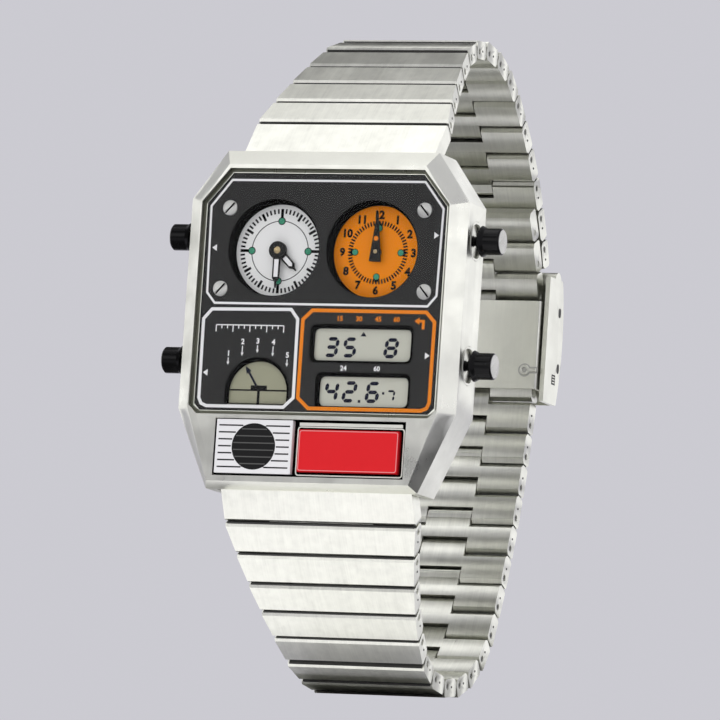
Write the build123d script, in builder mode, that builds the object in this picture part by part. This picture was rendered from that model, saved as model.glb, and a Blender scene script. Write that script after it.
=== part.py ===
from build123d import *
import math
import os

# A wristwatch with two hand dials, three liquid-crystal windows and a link bracelet.
# X points to the 3 o'clock side, -Y out of the dial towards the reader, +Z to 12 o'clock.
# The origin is the middle of the outer face of the case back. Lengths are in millimetres.

# Case
case_half_width = 18.4
case_half_length = 21.1
case_end_half = 14.0
upper_corner_height = 6.1
lower_corner_height = 9.9
back_thickness = 0.8
flank_front = 6.6
rim_front = 8.3
rim_inset = 1.9
chin_inset = 0.8
cavity_wall = 2.0
cavity_end_wall = 3.7
cavity_corner_wall = 2.4
cavity_upper_corner = 2.0
cavity_lower_corner = 2.2
cavity_front = 6.9
back_inset = 1.0
back_end_inset = 2.8

# Crystal and dial
crystal_thickness = 0.7
crystal_side_margin = 2.0
crystal_top_margin = 2.4
crystal_corner_margin = 1.1
crystal_shoulder_drop = 0.5
chin_height = 9.1
crystal_foot = 1.1
crystal_ledge = 0.45
dial_thickness = 0.4
dial_under_crystal = 0.1
subdial_spacing = 13.0
subdial_drop = 10.0
subdial_radius = 5.85
subdial_depth = 1.6
well_wall = 0.35
disc_thickness = 0.3

# Liquid-crystal windows: size, place across, and rise above the foot of the crystal
upper_lcd_size = (12.9, 4.1)
upper_lcd_across = 5.85
upper_lcd_rise = 9.0
lower_lcd_size = (11.8, 3.8)
lower_lcd_across = 6.4
lower_lcd_rise = 3.2
mode_lcd_across = -7.6
mode_lcd_rise = 2.85
mode_lcd_radius = 4.1
mode_lcd_foot = 1.6
lcd_thickness = 0.65
lcd_lap = 0.35

# Screws: those of the dial by their insets from the crystal's side and top
dial_screw_upper_inset = (3.5, 4.9)
dial_screw_lower_inset = (2.9, 15.0)
screw_head_radius = 0.95
screw_head_height = 0.25
screw_shank_radius = 0.45
screw_shank_length = 1.2
screw_slot = 0.22
screw_slot_turn = 40
back_screw_wall = 0.75
back_screw_head_radius = 0.85
back_screw_length = 2.6

# Plates set into the chin below the crystal
chin_recess_side = 1.4
chin_recess_drop = 0.5
chin_recess_foot = 1.5
chin_recess_depth = 0.9
grille_size = (10.1, 6.7)
grille_margin = 0.2
grille_lift = 0.1
grille_disc_radius = 2.75
grille_slot = 0.52
grille_slots = 6
grille_slot_depth = 0.3
plate_gap = 0.8
colour_plate_height = 5.3
colour_plate_margin = 0.8
colour_plate_drop = 0.25
plate_relief = 0.05

# Hands
hand_thickness = 0.15
minute_hand_length = 4.5
hour_hand_length = 3.3
hand_tail = 0.9
hand_width = 1.0
hand_shoulder = 0.8
hub_radius = 1.05
zone_minute_length = 4.9
zone_hour_length = 3.4
zone_hand_tail = 1.2
zone_hand_width = 1.5
zone_hand_shoulder = -0.2
zone_hub_radius = 0.6
hand_tip = 0.18
arbor_radius = 0.22
cannon_radius = 0.45
hand_step = 0.4
arbor_depth = 1.1
time_hour_angle = 135.0
time_minute_angle = 180.0
zone_hour_angle = 0.0
zone_minute_angle = 0.0

# Movement, board and cell
frame_front_gap = 0.05
frame_back = 1.1
frame_side_gap = 1.8
movement_radius = 5.2
movement_depth = 2.1
board_thickness = 0.6
board_side_gap = 4.0
board_end_gap = 4.2
cell_radius = 4.75
cell_thickness = 2.5
cell_margin = 2.05
gasket_width = 0.6
gasket_height = 0.6

# Pushers
pusher_radius = 1.65
pusher_depth = 3.5
pusher_upper_drop = 4.4
pusher_lower_rise = 6.35
pusher_reach = 3.5
pusher_travel = 0.8
pusher_stem_radius = 0.6
pusher_keeper_radius = 1.0
pusher_keeper = 0.4
pusher_flange_radius = 1.95
pusher_flange = 0.55
pusher_pocket_radius = 2.45
pusher_pocket_depth = 0.5
pusher_edge = 0.2

# Bracelet
link_pitch = 4.25
upper_end_pitch = 7.5
lower_end_pitch = 6.0
link_overhang = 1.05
link_gap = 0.22
outer_rise = 1.35
inner_rise = 0.95
outer_bevel = 0.3
inner_bevel = 0.5
lap_radius = 0.9
lap_play = 0.1
pin_radius = 0.4
pin_inset = 0.1
bar_radius = 0.45
bar_seat = 0.7
lug_wall = 1.05
lug_pivot_depth = 4.0
lug_pivot_drop = 1.2
lug_slot_front = 1.75
case_band_half = 12.65
clasp_band_half = 8.8
taper_links = 7
taper_share = 1.35
side_column = 5.8
upper_links = 16
lower_links = 20
gripped_links = 3
tail_links = 3

# The bend at each pivot in degrees, as stretches of (links, angle)
upper_front_angles = [(1, 6.0), (3, 3.5)]
upper_corner_links = 5
upper_back_angles = [(6, 5.0)]
upper_start_angle = 54.0
lower_front_angles = [(1, 7.0), (4, 5.0)]
lower_corner_links = 7
lower_back_angles = [(7, 2.3)]
lower_start_angle = 61.0
corner_start_angle = 12.5
tail_angles = [22.0, 6.0, 4.0]

# Links that share a node, by number from the case
upper_groups = [(1,), (2, 3), (4, 5), (6,), (7,), (8,), (9,), (10,), (11,), (12,), (13, 14), (15,), (16,)]
lower_groups = [(1,), (2, 3), (4, 5), (6,), (7,), (8,), (9,), (10,), (11,), (12,), (13,),
                (14, 15), (16, 17), (18, 19), (20,)]

# Clasp
clasp_pivot = (48.3, 13.0)
sleeve_set_in = 2.1
sleeve_entry_drop = 15.0
sleeve_sheet = 0.5
sleeve_play = 0.25
sleeve_start = 0.5
sleeve_length = 11.4
sleeve_lip = 3.3
sleeve_bar = 0.8
lock_play = 0.1
cover_sheet = 0.6
cover_play = 0.25
cover_crown = 1.15
cover_length = 16.0
cover_cheek = 4.15
cover_barrel = 1.1
cover_top_lap = 0.2
last_link_gap = 0.75
cover_hole_radius = 0.35
cover_notch = 0.9

# Fits
slide_fit = 0.05
turn_fit = 0.04
press_gap = 0.02
seat_gap = 0.05
overrun = 1.0

os.makedirs("parts", exist_ok=True)


def front(depth):
    """Plane that faces the reader, depth in front of the outer face of the case back."""
    return Plane(origin=(0, -depth, 0), x_dir=(1, 0, 0), z_dir=(0, -1, 0))


def mirrored(points):
    """Close a right-hand outline, listed from top to bottom, with its mirror image."""
    return points + [(-x, z) for x, z in reversed(points)]


def write(piece, name):
    """Label a finished piece and write it as its own file."""
    piece.part.label = name
    export_step(piece.part, f"parts/{name}.step")


def outline_face(points):
    """Fill a closed outline in the sketch that is open."""
    Polygon(*points, align=None)


def beside(start, end, margin):
    """Point a margin away from the middle of an edge, on its left."""
    run, rise = end[0] - start[0], end[1] - start[1]
    length = math.hypot(run, rise)
    return ((start[0] + end[0]) / 2 - rise / length * margin,
            (start[1] + end[1]) / 2 + run / length * margin)


# Outlines in the plane of the dial
upper_shoulder = case_half_length - upper_corner_height
lower_shoulder = lower_corner_height - case_half_length
case_outline = mirrored([
    (case_end_half, case_half_length),
    (case_half_width, upper_shoulder),
    (case_half_width, lower_shoulder),
    (case_end_half, -case_half_length),
])
rim_outline = mirrored([
    (case_end_half - rim_inset / 2, case_half_length - rim_inset),
    (case_half_width - rim_inset, upper_shoulder - rim_inset / 3),
    (case_half_width - rim_inset, lower_shoulder),
    (case_end_half - rim_inset / 3, -case_half_length + chin_inset),
])
cavity_half_width = case_half_width - cavity_wall
cavity_half_length = case_half_length - cavity_end_wall
cavity_end_half = case_end_half - cavity_corner_wall
cavity_upper_shoulder = upper_shoulder - cavity_upper_corner
cavity_lower_shoulder = lower_shoulder + cavity_lower_corner
cavity_outline = mirrored([
    (cavity_end_half, cavity_half_length),
    (cavity_half_width, cavity_upper_shoulder),
    (cavity_half_width, cavity_lower_shoulder),
    (cavity_end_half, -cavity_half_length),
])
crystal_half_width = case_half_width - crystal_side_margin
crystal_top = case_half_length - crystal_top_margin
crystal_top_half = case_end_half - crystal_corner_margin
crystal_shoulder = upper_shoulder - crystal_shoulder_drop
crystal_bottom = -case_half_length + chin_height


def crystal_outline(inset):
    """Outline of the crystal, drawn in by an inset."""
    return mirrored([
        (crystal_top_half - inset / 2, crystal_top - inset),
        (crystal_half_width - inset, crystal_shoulder - inset / 2),
        (crystal_half_width - inset, crystal_bottom + crystal_foot),
        (crystal_half_width - crystal_foot - inset / 2, crystal_bottom + inset),
    ])


crystal_front = rim_front
crystal_seat = crystal_front - crystal_thickness
dial_front = crystal_seat - dial_under_crystal
dial_back = dial_front - dial_thickness
disc_front = dial_front - subdial_depth
disc_back = disc_front - disc_thickness
lcd_front = dial_back - press_gap
lcd_back = lcd_front - lcd_thickness
frame_front = lcd_back - frame_front_gap
subdial_height = crystal_top - subdial_drop
subdials = [(-subdial_spacing / 2, subdial_height), (subdial_spacing / 2, subdial_height)]
upper_lcd_centre = (upper_lcd_across, crystal_bottom + upper_lcd_rise)
lower_lcd_centre = (lower_lcd_across, crystal_bottom + lower_lcd_rise)
mode_lcd_centre = (mode_lcd_across, crystal_bottom + mode_lcd_rise)
chin_recess_half = case_end_half - chin_recess_side
chin_recess_top = crystal_bottom - chin_recess_drop
chin_recess_bottom = -case_half_length + chin_recess_foot
chin_recess_middle = (chin_recess_top + chin_recess_bottom) / 2
grille_centre = (grille_margin + grille_size[0] / 2 - chin_recess_half, chin_recess_middle + grille_lift)
colour_plate_left = grille_centre[0] + grille_size[0] / 2 + plate_gap
colour_plate_right = chin_recess_half - colour_plate_margin
colour_plate_size = (colour_plate_right - colour_plate_left, colour_plate_height)
colour_plate_centre = (
    (colour_plate_left + colour_plate_right) / 2,
    chin_recess_middle - colour_plate_drop,
)
lug_pivot_height = case_half_length - lug_pivot_drop
lug_slot_half = case_end_half - lug_wall
lug_slot_floor = lug_pivot_height - inner_rise - lap_play - link_gap
pusher_sides = [("right", 1), ("left", -1)]
pusher_rows = [
    ("upper", upper_shoulder - pusher_upper_drop),
    ("lower", lower_shoulder + pusher_lower_rise),
]
dial_screw_spots = [
    (side * (crystal_half_width - inset[0]), crystal_top - inset[1])
    for inset in (dial_screw_upper_inset, dial_screw_lower_inset)
    for side in (1, -1)
]
# Case-back screws stand in the corners of the wall, outside the cavity
back_screw_spots = [
    (side * spot[0], spot[1])
    for spot in (beside(cavity_outline[0], cavity_outline[1], back_screw_wall),
                 beside(cavity_outline[2], cavity_outline[3], back_screw_wall))
    for side in (1, -1)
]


# Middle case: an octagonal shell with a sloping bezel, open at the back
with BuildPart() as case_body:
    with BuildSketch(front(back_thickness)):
        outline_face(case_outline)
    extrude(amount=flank_front - back_thickness)
    with BuildSketch(front(flank_front)):
        outline_face(case_outline)
    with BuildSketch(front(rim_front)):
        outline_face(rim_outline)
    loft(ruled=True)
    with BuildSketch(front(back_thickness)):
        outline_face(cavity_outline)
    extrude(amount=cavity_front - back_thickness, mode=Mode.SUBTRACT)
    with BuildSketch(front(cavity_front)):
        outline_face(crystal_outline(crystal_ledge))
    extrude(amount=rim_front - cavity_front, mode=Mode.SUBTRACT)
    with BuildSketch(front(crystal_seat)):
        outline_face(crystal_outline(0))
    extrude(amount=crystal_thickness + overrun, mode=Mode.SUBTRACT)
    # Shallow recess in the chin for its two plates
    with BuildSketch(front(rim_front - chin_recess_depth)):
        with Locations((0, chin_recess_middle)):
            Rectangle(2 * chin_recess_half, chin_recess_top - chin_recess_bottom)
    extrude(amount=chin_recess_depth + overrun, mode=Mode.SUBTRACT)
    # Slots between the lugs take the end links
    for end in (1, -1):
        slot_height = case_half_length + overrun - lug_slot_floor
        with BuildSketch(front(0)):
            with Locations((0, end * (lug_slot_floor + slot_height / 2))):
                Rectangle(2 * lug_slot_half, slot_height)
        extrude(amount=lug_pivot_depth + lug_slot_front, mode=Mode.SUBTRACT)
        with BuildSketch(Plane(origin=(0, -lug_pivot_depth, end * lug_pivot_height), z_dir=(1, 0, 0))):
            Circle(bar_radius + slide_fit)
        extrude(amount=lug_slot_half + bar_seat + slide_fit, both=True, mode=Mode.SUBTRACT)
    # Pockets and bores for the four pushers
    for _, side in pusher_sides:
        for _, height in pusher_rows:
            flank = Plane(origin=(side * case_half_width, -pusher_depth, height), z_dir=(side, 0, 0))
            with BuildSketch(flank):
                Circle(pusher_pocket_radius)
            extrude(amount=-pusher_pocket_depth, mode=Mode.SUBTRACT)
            with BuildSketch(flank):
                Circle(pusher_stem_radius + slide_fit)
            extrude(amount=-cavity_wall - overrun, mode=Mode.SUBTRACT)
    # Blind holes for the case-back screws
    with BuildSketch(front(back_thickness)):
        with Locations(*back_screw_spots):
            Circle(screw_shank_radius + press_gap)
    extrude(amount=back_screw_length - back_thickness + press_gap, mode=Mode.SUBTRACT)
write(case_body, "case_body")

# Crystal
with BuildPart() as crystal:
    with BuildSketch(front(crystal_seat)):
        outline_face(crystal_outline(press_gap))
    extrude(amount=crystal_thickness)
    chamfer(crystal.faces().sort_by(Axis.Y)[0].edges(), length=crystal_thickness / 4)
write(crystal, "crystal")

# Case back: a flat plate with countersinks for its screws
with BuildPart() as case_back:
    with BuildSketch(front(0)):
        outline_face(mirrored([
            (case_end_half, case_half_length - back_end_inset),
            (case_half_width - back_inset, upper_shoulder - back_inset),
            (case_half_width - back_inset, lower_shoulder),
            (case_end_half, back_end_inset - case_half_length),
        ]))
    extrude(amount=back_thickness)
    chamfer(case_back.faces().sort_by(Axis.Y)[-1].edges(), length=back_thickness / 3)
    with BuildSketch(front(0)):
        with Locations(*back_screw_spots):
            Circle(screw_shank_radius + slide_fit)
    extrude(amount=back_thickness, mode=Mode.SUBTRACT)
    with BuildSketch(front(0)):
        with Locations(*back_screw_spots):
            Circle(back_screw_head_radius + slide_fit)
    extrude(amount=back_thickness / 2, mode=Mode.SUBTRACT)
write(case_back, "case_back")

# Gasket that lies in the mouth of the case, against the case back
with BuildPart() as back_gasket:
    with BuildSketch(front(back_thickness)):
        outline_face(cavity_outline)
        offset(amount=-press_gap, kind=Kind.INTERSECTION, mode=Mode.REPLACE)
        offset(amount=-gasket_width, kind=Kind.INTERSECTION, mode=Mode.SUBTRACT)
    extrude(amount=gasket_height)
write(back_gasket, "back_gasket")

# Case-back screws
with BuildPart() as back_screws:
    with BuildSketch(front(press_gap)):
        with Locations(*back_screw_spots):
            Circle(back_screw_head_radius)
    extrude(amount=back_thickness / 2 - press_gap)
    with BuildSketch(front(back_thickness / 2)):
        with Locations(*back_screw_spots):
            Circle(screw_shank_radius)
    extrude(amount=back_screw_length - back_thickness / 2)
    with BuildSketch(front(0)):
        with Locations(*back_screw_spots):
            Rectangle(2 * back_screw_head_radius, screw_slot)
    extrude(amount=back_thickness / 4, mode=Mode.SUBTRACT)
write(back_screws, "back_screws")


def lcd_windows(lap):
    """Outlines of the three display windows in the sketch that is open, grown by a lap."""
    for centre, size in ((upper_lcd_centre, upper_lcd_size), (lower_lcd_centre, lower_lcd_size)):
        with Locations(centre):
            Rectangle(size[0] + 2 * lap, size[1] + 2 * lap)
    radius = mode_lcd_radius + lap
    foot = mode_lcd_foot + lap
    with Locations(mode_lcd_centre):
        Circle(radius)
    with Locations((mode_lcd_centre[0], mode_lcd_centre[1] - foot / 2)):
        Rectangle(2 * radius, foot)
    with Locations((mode_lcd_centre[0], mode_lcd_centre[1] - foot - radius / 2)):
        Rectangle(2 * radius, radius, mode=Mode.SUBTRACT)


# Dial plate with its two wells and its windows
with BuildPart() as dial_plate:
    with BuildSketch(front(dial_back)):
        outline_face(crystal_outline(crystal_ledge + slide_fit))
    extrude(amount=dial_thickness)
    with BuildSketch(front(disc_front + press_gap)):
        with Locations(*subdials):
            Circle(subdial_radius + well_wall)
    extrude(amount=dial_back - disc_front - press_gap)
    with BuildSketch(front(disc_front)):
        with Locations(*subdials):
            Circle(subdial_radius)
    extrude(amount=subdial_depth, mode=Mode.SUBTRACT)
    with BuildSketch(front(dial_back)):
        lcd_windows(0)
    extrude(amount=dial_thickness, mode=Mode.SUBTRACT)
    with BuildSketch(front(dial_back)):
        with Locations(*dial_screw_spots):
            Circle(screw_shank_radius + slide_fit)
    extrude(amount=dial_thickness, mode=Mode.SUBTRACT)
    with BuildSketch(front(dial_front - screw_head_height)):
        with Locations(*dial_screw_spots):
            Circle(screw_head_radius + slide_fit)
    extrude(amount=screw_head_height, mode=Mode.SUBTRACT)
write(dial_plate, "dial_plate")

# Slotted screws that hold the dial plate
with BuildPart() as dial_screws:
    with BuildSketch(front(dial_front - screw_head_height)):
        with Locations(*dial_screw_spots):
            Circle(screw_head_radius)
    extrude(amount=screw_head_height + press_gap)
    with BuildSketch(front(dial_front - screw_head_height - screw_shank_length)):
        with Locations(*dial_screw_spots):
            Circle(screw_shank_radius)
    extrude(amount=screw_shank_length)
    with BuildSketch(front(dial_front - screw_head_height / 3)):
        for spot in dial_screw_spots:
            turn = -screw_slot_turn if spot[0] > 0 else screw_slot_turn
            with Locations(Location((spot[0], spot[1], 0), turn)):
                Rectangle(2 * screw_head_radius, screw_slot)
    extrude(amount=screw_head_height, mode=Mode.SUBTRACT)
write(dial_screws, "dial_screws")

# Dial discs at the foot of the wells
for disc_name, spot in (("time_dial", subdials[0]), ("zone_dial", subdials[1])):
    with BuildPart() as dial_disc:
        with BuildSketch(front(disc_back)):
            with Locations(spot):
                Circle(subdial_radius + well_wall)
                Circle(cannon_radius + turn_fit, mode=Mode.SUBTRACT)
        extrude(amount=disc_thickness)
    write(dial_disc, disc_name)

# Three display glasses behind the windows
with BuildPart() as lcd_panels:
    with BuildSketch(front(lcd_back)):
        lcd_windows(lcd_lap)
    extrude(amount=lcd_thickness)
write(lcd_panels, "lcd_panels")


def hand(name, spot, level, length, style, bore_radius, post_radius, angle):
    """Write one hand: a tapered blade, its hub and the tube or arbor it turns on."""
    width, tail, shoulder, hub = style
    blade = [
        (-width / 2, -tail),
        (width / 2, -tail),
        (width / 2, length * shoulder),
        (hand_tip / 2, length),
        (-hand_tip / 2, length),
        (-width / 2, length * shoulder),
    ]
    with BuildPart() as piece:
        with BuildSketch(front(level)):
            with Locations(Location((spot[0], spot[1], 0), -angle)):
                with BuildSketch(mode=Mode.PRIVATE) as shape:
                    outline_face(blade)
                    Circle(hub)
                add(shape.sketch)
        extrude(amount=hand_thickness)
        with BuildSketch(front(disc_back - arbor_depth)):
            with Locations(spot):
                Circle(post_radius)
        extrude(amount=level + hand_thickness - disc_back + arbor_depth)
        if bore_radius:
            with BuildSketch(front(disc_back - arbor_depth - overrun)):
                with Locations(spot):
                    Circle(bore_radius)
            extrude(amount=level + hand_thickness + arbor_depth + overrun, mode=Mode.SUBTRACT)
    write(piece, name)


hour_level = disc_front + hand_step
minute_level = hour_level + hand_step
time_style = (hand_width, hand_tail, hand_shoulder, hub_radius)
zone_style = (zone_hand_width, zone_hand_tail, zone_hand_shoulder, zone_hub_radius)
hand("time_hour_hand", subdials[0], hour_level, hour_hand_length, time_style,
     arbor_radius + turn_fit, cannon_radius, time_hour_angle)
hand("time_minute_hand", subdials[0], minute_level, minute_hand_length, time_style,
     0, arbor_radius, time_minute_angle)
hand("zone_hour_hand", subdials[1], hour_level, zone_hour_length, zone_style,
     arbor_radius + turn_fit, cannon_radius, zone_hour_angle)
hand("zone_minute_hand", subdials[1], minute_level, zone_minute_length, zone_style,
     0, arbor_radius, zone_minute_angle)

# Plates in the chin: one with a slotted disc, one plain
recess_floor = rim_front - chin_recess_depth
with BuildPart() as grille_plate:
    with BuildSketch(front(recess_floor)):
        with Locations(grille_centre):
            Rectangle(*grille_size)
    extrude(amount=chin_recess_depth - plate_relief)
    slot_step = 2 * grille_disc_radius / grille_slots
    with BuildSketch(front(rim_front - plate_relief - grille_slot_depth)):
        for row in range(grille_slots):
            rise = (row + 0.5 - grille_slots / 2) * slot_step
            reach = 2 * math.sqrt(grille_disc_radius ** 2 - rise ** 2)
            with Locations((grille_centre[0], grille_centre[1] + rise)):
                Rectangle(reach, grille_slot)
    extrude(amount=grille_slot_depth + overrun, mode=Mode.SUBTRACT)
write(grille_plate, "grille_plate")

with BuildPart() as colour_plate:
    with BuildSketch(front(recess_floor)):
        with Locations(colour_plate_centre):
            Rectangle(*colour_plate_size)
    extrude(amount=chin_recess_depth - plate_relief)
    chamfer(colour_plate.faces().sort_by(Axis.Y)[0].edges(), length=2 * plate_relief)
write(colour_plate, "colour_plate")

# Movement holder: a plastic block with seats for everything inside the case
frame_outline = mirrored([
    (cavity_end_half - frame_side_gap / 3, cavity_half_length - frame_side_gap / 2),
    (cavity_half_width - frame_side_gap, cavity_upper_shoulder - frame_side_gap / 2),
    (cavity_half_width - frame_side_gap, cavity_lower_shoulder - frame_side_gap / 2),
    (cavity_end_half - frame_side_gap / 2, -cavity_half_length + frame_side_gap / 2),
])
board_half_width = cavity_half_width - board_side_gap
board_half_height = cavity_half_length - board_end_gap
cell_centre = (0, cell_radius + cell_margin - board_half_height)
board_back = frame_back + seat_gap
cell_back = frame_back + seat_gap
with BuildPart() as module_frame:
    with BuildSketch(front(frame_back)):
        outline_face(frame_outline)
    extrude(amount=frame_front - frame_back)
    with BuildSketch(front(disc_back - press_gap)):
        with Locations(*subdials):
            Circle(subdial_radius + well_wall + slide_fit)
    extrude(amount=frame_front - disc_back + overrun, mode=Mode.SUBTRACT)
    with BuildSketch(front(disc_back - movement_depth - press_gap)):
        with Locations(*subdials):
            Circle(movement_radius + press_gap)
    extrude(amount=movement_depth + overrun, mode=Mode.SUBTRACT)
    with BuildSketch(front(frame_back)):
        Rectangle(2 * (board_half_width + press_gap), 2 * (board_half_height + press_gap))
    extrude(amount=board_thickness + seat_gap, mode=Mode.SUBTRACT)
    with BuildSketch(front(frame_back)):
        with Locations(cell_centre):
            Circle(cell_radius + slide_fit)
    extrude(amount=cell_thickness + seat_gap, mode=Mode.SUBTRACT)
    with BuildSketch(front(frame_front)):
        with Locations(*dial_screw_spots):
            Circle(screw_shank_radius + press_gap)
    extrude(amount=-screw_shank_length, mode=Mode.SUBTRACT)
write(module_frame, "module_frame")

with BuildPart() as circuit_board:
    with BuildSketch(front(board_back)):
        Rectangle(2 * board_half_width, 2 * board_half_height)
        with Locations(cell_centre):
            Circle(cell_radius + 2 * slide_fit, mode=Mode.SUBTRACT)
    extrude(amount=board_thickness)
write(circuit_board, "circuit_board")

with BuildPart() as cell:
    with BuildSketch(front(cell_back)):
        with Locations(cell_centre):
            Circle(cell_radius)
    extrude(amount=cell_thickness)
    chamfer(cell.edges().filter_by(GeomType.CIRCLE), length=seat_gap)
write(cell, "battery")

# Stepping movements behind the two dials, each bored for its arbor
with BuildPart() as movements:
    with BuildSketch(front(disc_back - press_gap - movement_depth)):
        with Locations(*subdials):
            Circle(movement_radius)
    extrude(amount=movement_depth)
    with BuildSketch(front(disc_back - press_gap)):
        with Locations(*subdials):
            Circle(cannon_radius + turn_fit)
    extrude(amount=-arbor_depth - slide_fit, mode=Mode.SUBTRACT)
write(movements, "hand_movements")

# Pushers: a cap, a flange, a stem through the wall and a keeper inside
for side_name, side in pusher_sides:
    for row_name, height in pusher_rows:
        wall_inside = case_half_width - cavity_wall
        cap_foot = case_half_width + pusher_travel + slide_fit
        with BuildPart() as pusher:
            with BuildSketch(Plane.XY):
                with BuildLine():
                    Polyline(
                        (wall_inside - slide_fit - pusher_keeper, 0),
                        (wall_inside - slide_fit - pusher_keeper, pusher_keeper_radius),
                        (wall_inside - slide_fit, pusher_keeper_radius),
                        (wall_inside - slide_fit, pusher_stem_radius),
                        (cap_foot, pusher_stem_radius),
                        (cap_foot, pusher_flange_radius),
                        (cap_foot + pusher_flange, pusher_radius),
                        (case_half_width + pusher_reach - pusher_edge, pusher_radius),
                        (case_half_width + pusher_reach, pusher_radius - pusher_edge),
                        (case_half_width + pusher_reach, 0),
                        close=True,
                    )
                make_face()
            revolve(axis=Axis.X)
        placed = pusher.part if side > 0 else mirror(pusher.part, about=Plane.YZ)
        with BuildPart() as placed_pusher:
            add(Location((0, -pusher_depth, height)) * placed)
        write(placed_pusher, f"pusher_{side_name}_{row_name}")


# Bracelet path: headings fall from link to link, and each half ends on the clasp
def expand(stretches):
    """Turn stretches of (links, bend) into one bend per pivot."""
    return [bend for links, bend in stretches for _ in range(links)]


def headings_of(start, corner, front_bends, corner_links, back_bends):
    """Heading of each link in degrees, from the first link on."""
    headings = [start]
    for bend in expand(front_bends) + [corner] * corner_links + expand(back_bends):
        headings.append(headings[-1] - bend)
    return headings


def path_points(headings, end_pitch):
    """Pivots along one half, outwards from its lug, with height counted from the middle."""
    points = [(-lug_pivot_depth, lug_pivot_height)]
    for number, heading in enumerate(headings):
        step = end_pitch if number == 0 else link_pitch
        turn = math.radians(heading)
        points.append((points[-1][0] + step * math.cos(turn), points[-1][1] + step * math.sin(turn)))
    return points


def closing_headings(target, end_pitch, start, corner, front_bends, corner_links, back_bends):
    """Adjust the start and the corner bend until the half ends on its target."""
    bends = (front_bends, corner_links, back_bends)
    nudge = 0.01
    for _ in range(12):
        end = path_points(headings_of(start, corner, *bends), end_pitch)[-1]
        by_start = path_points(headings_of(start + nudge, corner, *bends), end_pitch)[-1]
        by_corner = path_points(headings_of(start, corner + nudge, *bends), end_pitch)[-1]
        a, b = (by_start[0] - end[0]) / nudge, (by_corner[0] - end[0]) / nudge
        c, d = (by_start[1] - end[1]) / nudge, (by_corner[1] - end[1]) / nudge
        miss_y, miss_z = target[0] - end[0], target[1] - end[1]
        spread = a * d - b * c
        start += (d * miss_y - b * miss_z) / spread
        corner += (a * miss_z - c * miss_y) / spread
    return headings_of(start, corner, front_bends, corner_links, back_bends)


def band_half(boundary):
    """Half the bracelet's width at the boundary after that many links."""
    if boundary >= taper_links:
        return clasp_band_half
    share = min(1, (taper_links - boundary) / (taper_links - 1)) ** taper_share
    return clasp_band_half + (case_band_half - clasp_band_half) * share


def link_planes(pivot, heading, end):
    """Side plane and plan plane of a link: local X runs along it, outwards is up."""
    turn = math.radians(heading)
    along = (0, math.cos(turn), end * math.sin(turn))
    outward = (0, -math.sin(turn), end * math.cos(turn))
    origin = (0, pivot[0], end * pivot[1])
    side = Plane(origin=origin, x_dir=along, z_dir=(end, 0, 0))
    plan = Plane(origin=origin, x_dir=along, z_dir=outward)
    return side, plan


def link_solid(side, plan, pitch, number, far_gap, lug_end=False, has_lap=True):
    """One link: a folded outer plate with side columns, and a lap round the next pin."""
    near_half, far_half = band_half(number - 1), band_half(number)
    plate_end = pitch - link_overhang - far_gap
    far_points = [
        (plate_end - inner_bevel, -inner_rise),
        (plate_end, -inner_rise + inner_bevel),
        (plate_end, outer_rise - outer_bevel),
        (plate_end - outer_bevel, outer_rise),
    ]
    if lug_end:
        near_points = [(inner_bevel, outer_rise), (0, inner_rise), (0, -inner_rise)]
    else:
        near_points = [
            (-link_overhang + outer_bevel, outer_rise),
            (-link_overhang, outer_rise - outer_bevel),
            (-link_overhang, -inner_rise + inner_bevel),
            (-link_overhang + inner_bevel, -inner_rise),
        ]
    with BuildPart() as link:
        with BuildSketch(side):
            outline_face(far_points + near_points)
            if lug_end:
                Circle(inner_rise)
        extrude(amount=near_half, both=True)
        with BuildSketch(plan):
            near_end = -link_overhang - overrun
            outline_face([
                (near_end, -near_half),
                (-link_overhang, -near_half),
                (plate_end, -far_half),
                (plate_end, far_half),
                (-link_overhang, near_half),
                (near_end, near_half),
            ])
        extrude(amount=outer_rise + inner_rise, both=True, mode=Mode.INTERSECT)
        if not lug_end:
            with BuildSketch(side):
                groove_end = lap_radius + lap_play
                outline_face([
                    (-link_overhang - overrun, -inner_rise - overrun),
                    (groove_end, -inner_rise - overrun),
                    (groove_end, lap_radius + lap_play),
                    (-link_overhang - overrun, lap_radius + lap_play),
                ])
            extrude(amount=near_half - side_column + lap_play, both=True, mode=Mode.SUBTRACT)
        if has_lap:
            with BuildSketch(side):
                outline_face([
                    (plate_end - link_overhang, -inner_rise),
                    (pitch, -lap_radius),
                    (pitch, lap_radius),
                    (plate_end - link_overhang, lap_radius),
                ])
                with Locations((pitch, 0)):
                    Circle(lap_radius)
            extrude(amount=far_half - side_column, both=True)
            with BuildSketch(side):
                with Locations((pitch, 0)):
                    Circle(pin_radius + turn_fit)
            extrude(amount=near_half, both=True, mode=Mode.SUBTRACT)
        with BuildSketch(side):
            Circle(bar_radius + slide_fit if lug_end else pin_radius + press_gap)
        extrude(amount=near_half + overrun, both=True, mode=Mode.SUBTRACT)
    return link.part


def pin_solid(side, radius, half_length):
    """A round pin across the band at a link's own pivot."""
    with BuildPart() as pin:
        with BuildSketch(side):
            Circle(radius)
        extrude(amount=half_length, both=True)
    return pin.part


def pin_half(number):
    """Half the length of the pin in a link that isn't the first."""
    near_half, far_half = band_half(number - 1), band_half(number)
    return near_half - (near_half - far_half) * 2 * link_overhang / link_pitch - pin_inset


def write_links(name, group, pivots, headings, end, last=0):
    """Write the links of one node with their pins as separate solids."""
    with BuildPart() as node:
        for number in group:
            side, plan = link_planes(pivots[number - 1], headings[number - 1], end)
            first = number == 1
            end_pitch = upper_end_pitch if end > 0 else lower_end_pitch
            pitch = end_pitch if first else link_pitch
            far_gap = last_link_gap if number == last else link_gap
            add(link_solid(side, plan, pitch, number, far_gap, lug_end=first))
            if first:
                add(pin_solid(side, bar_radius, lug_slot_half + bar_seat))
            else:
                add(pin_solid(side, pin_radius, pin_half(number)))
    write(node, name)


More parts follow.
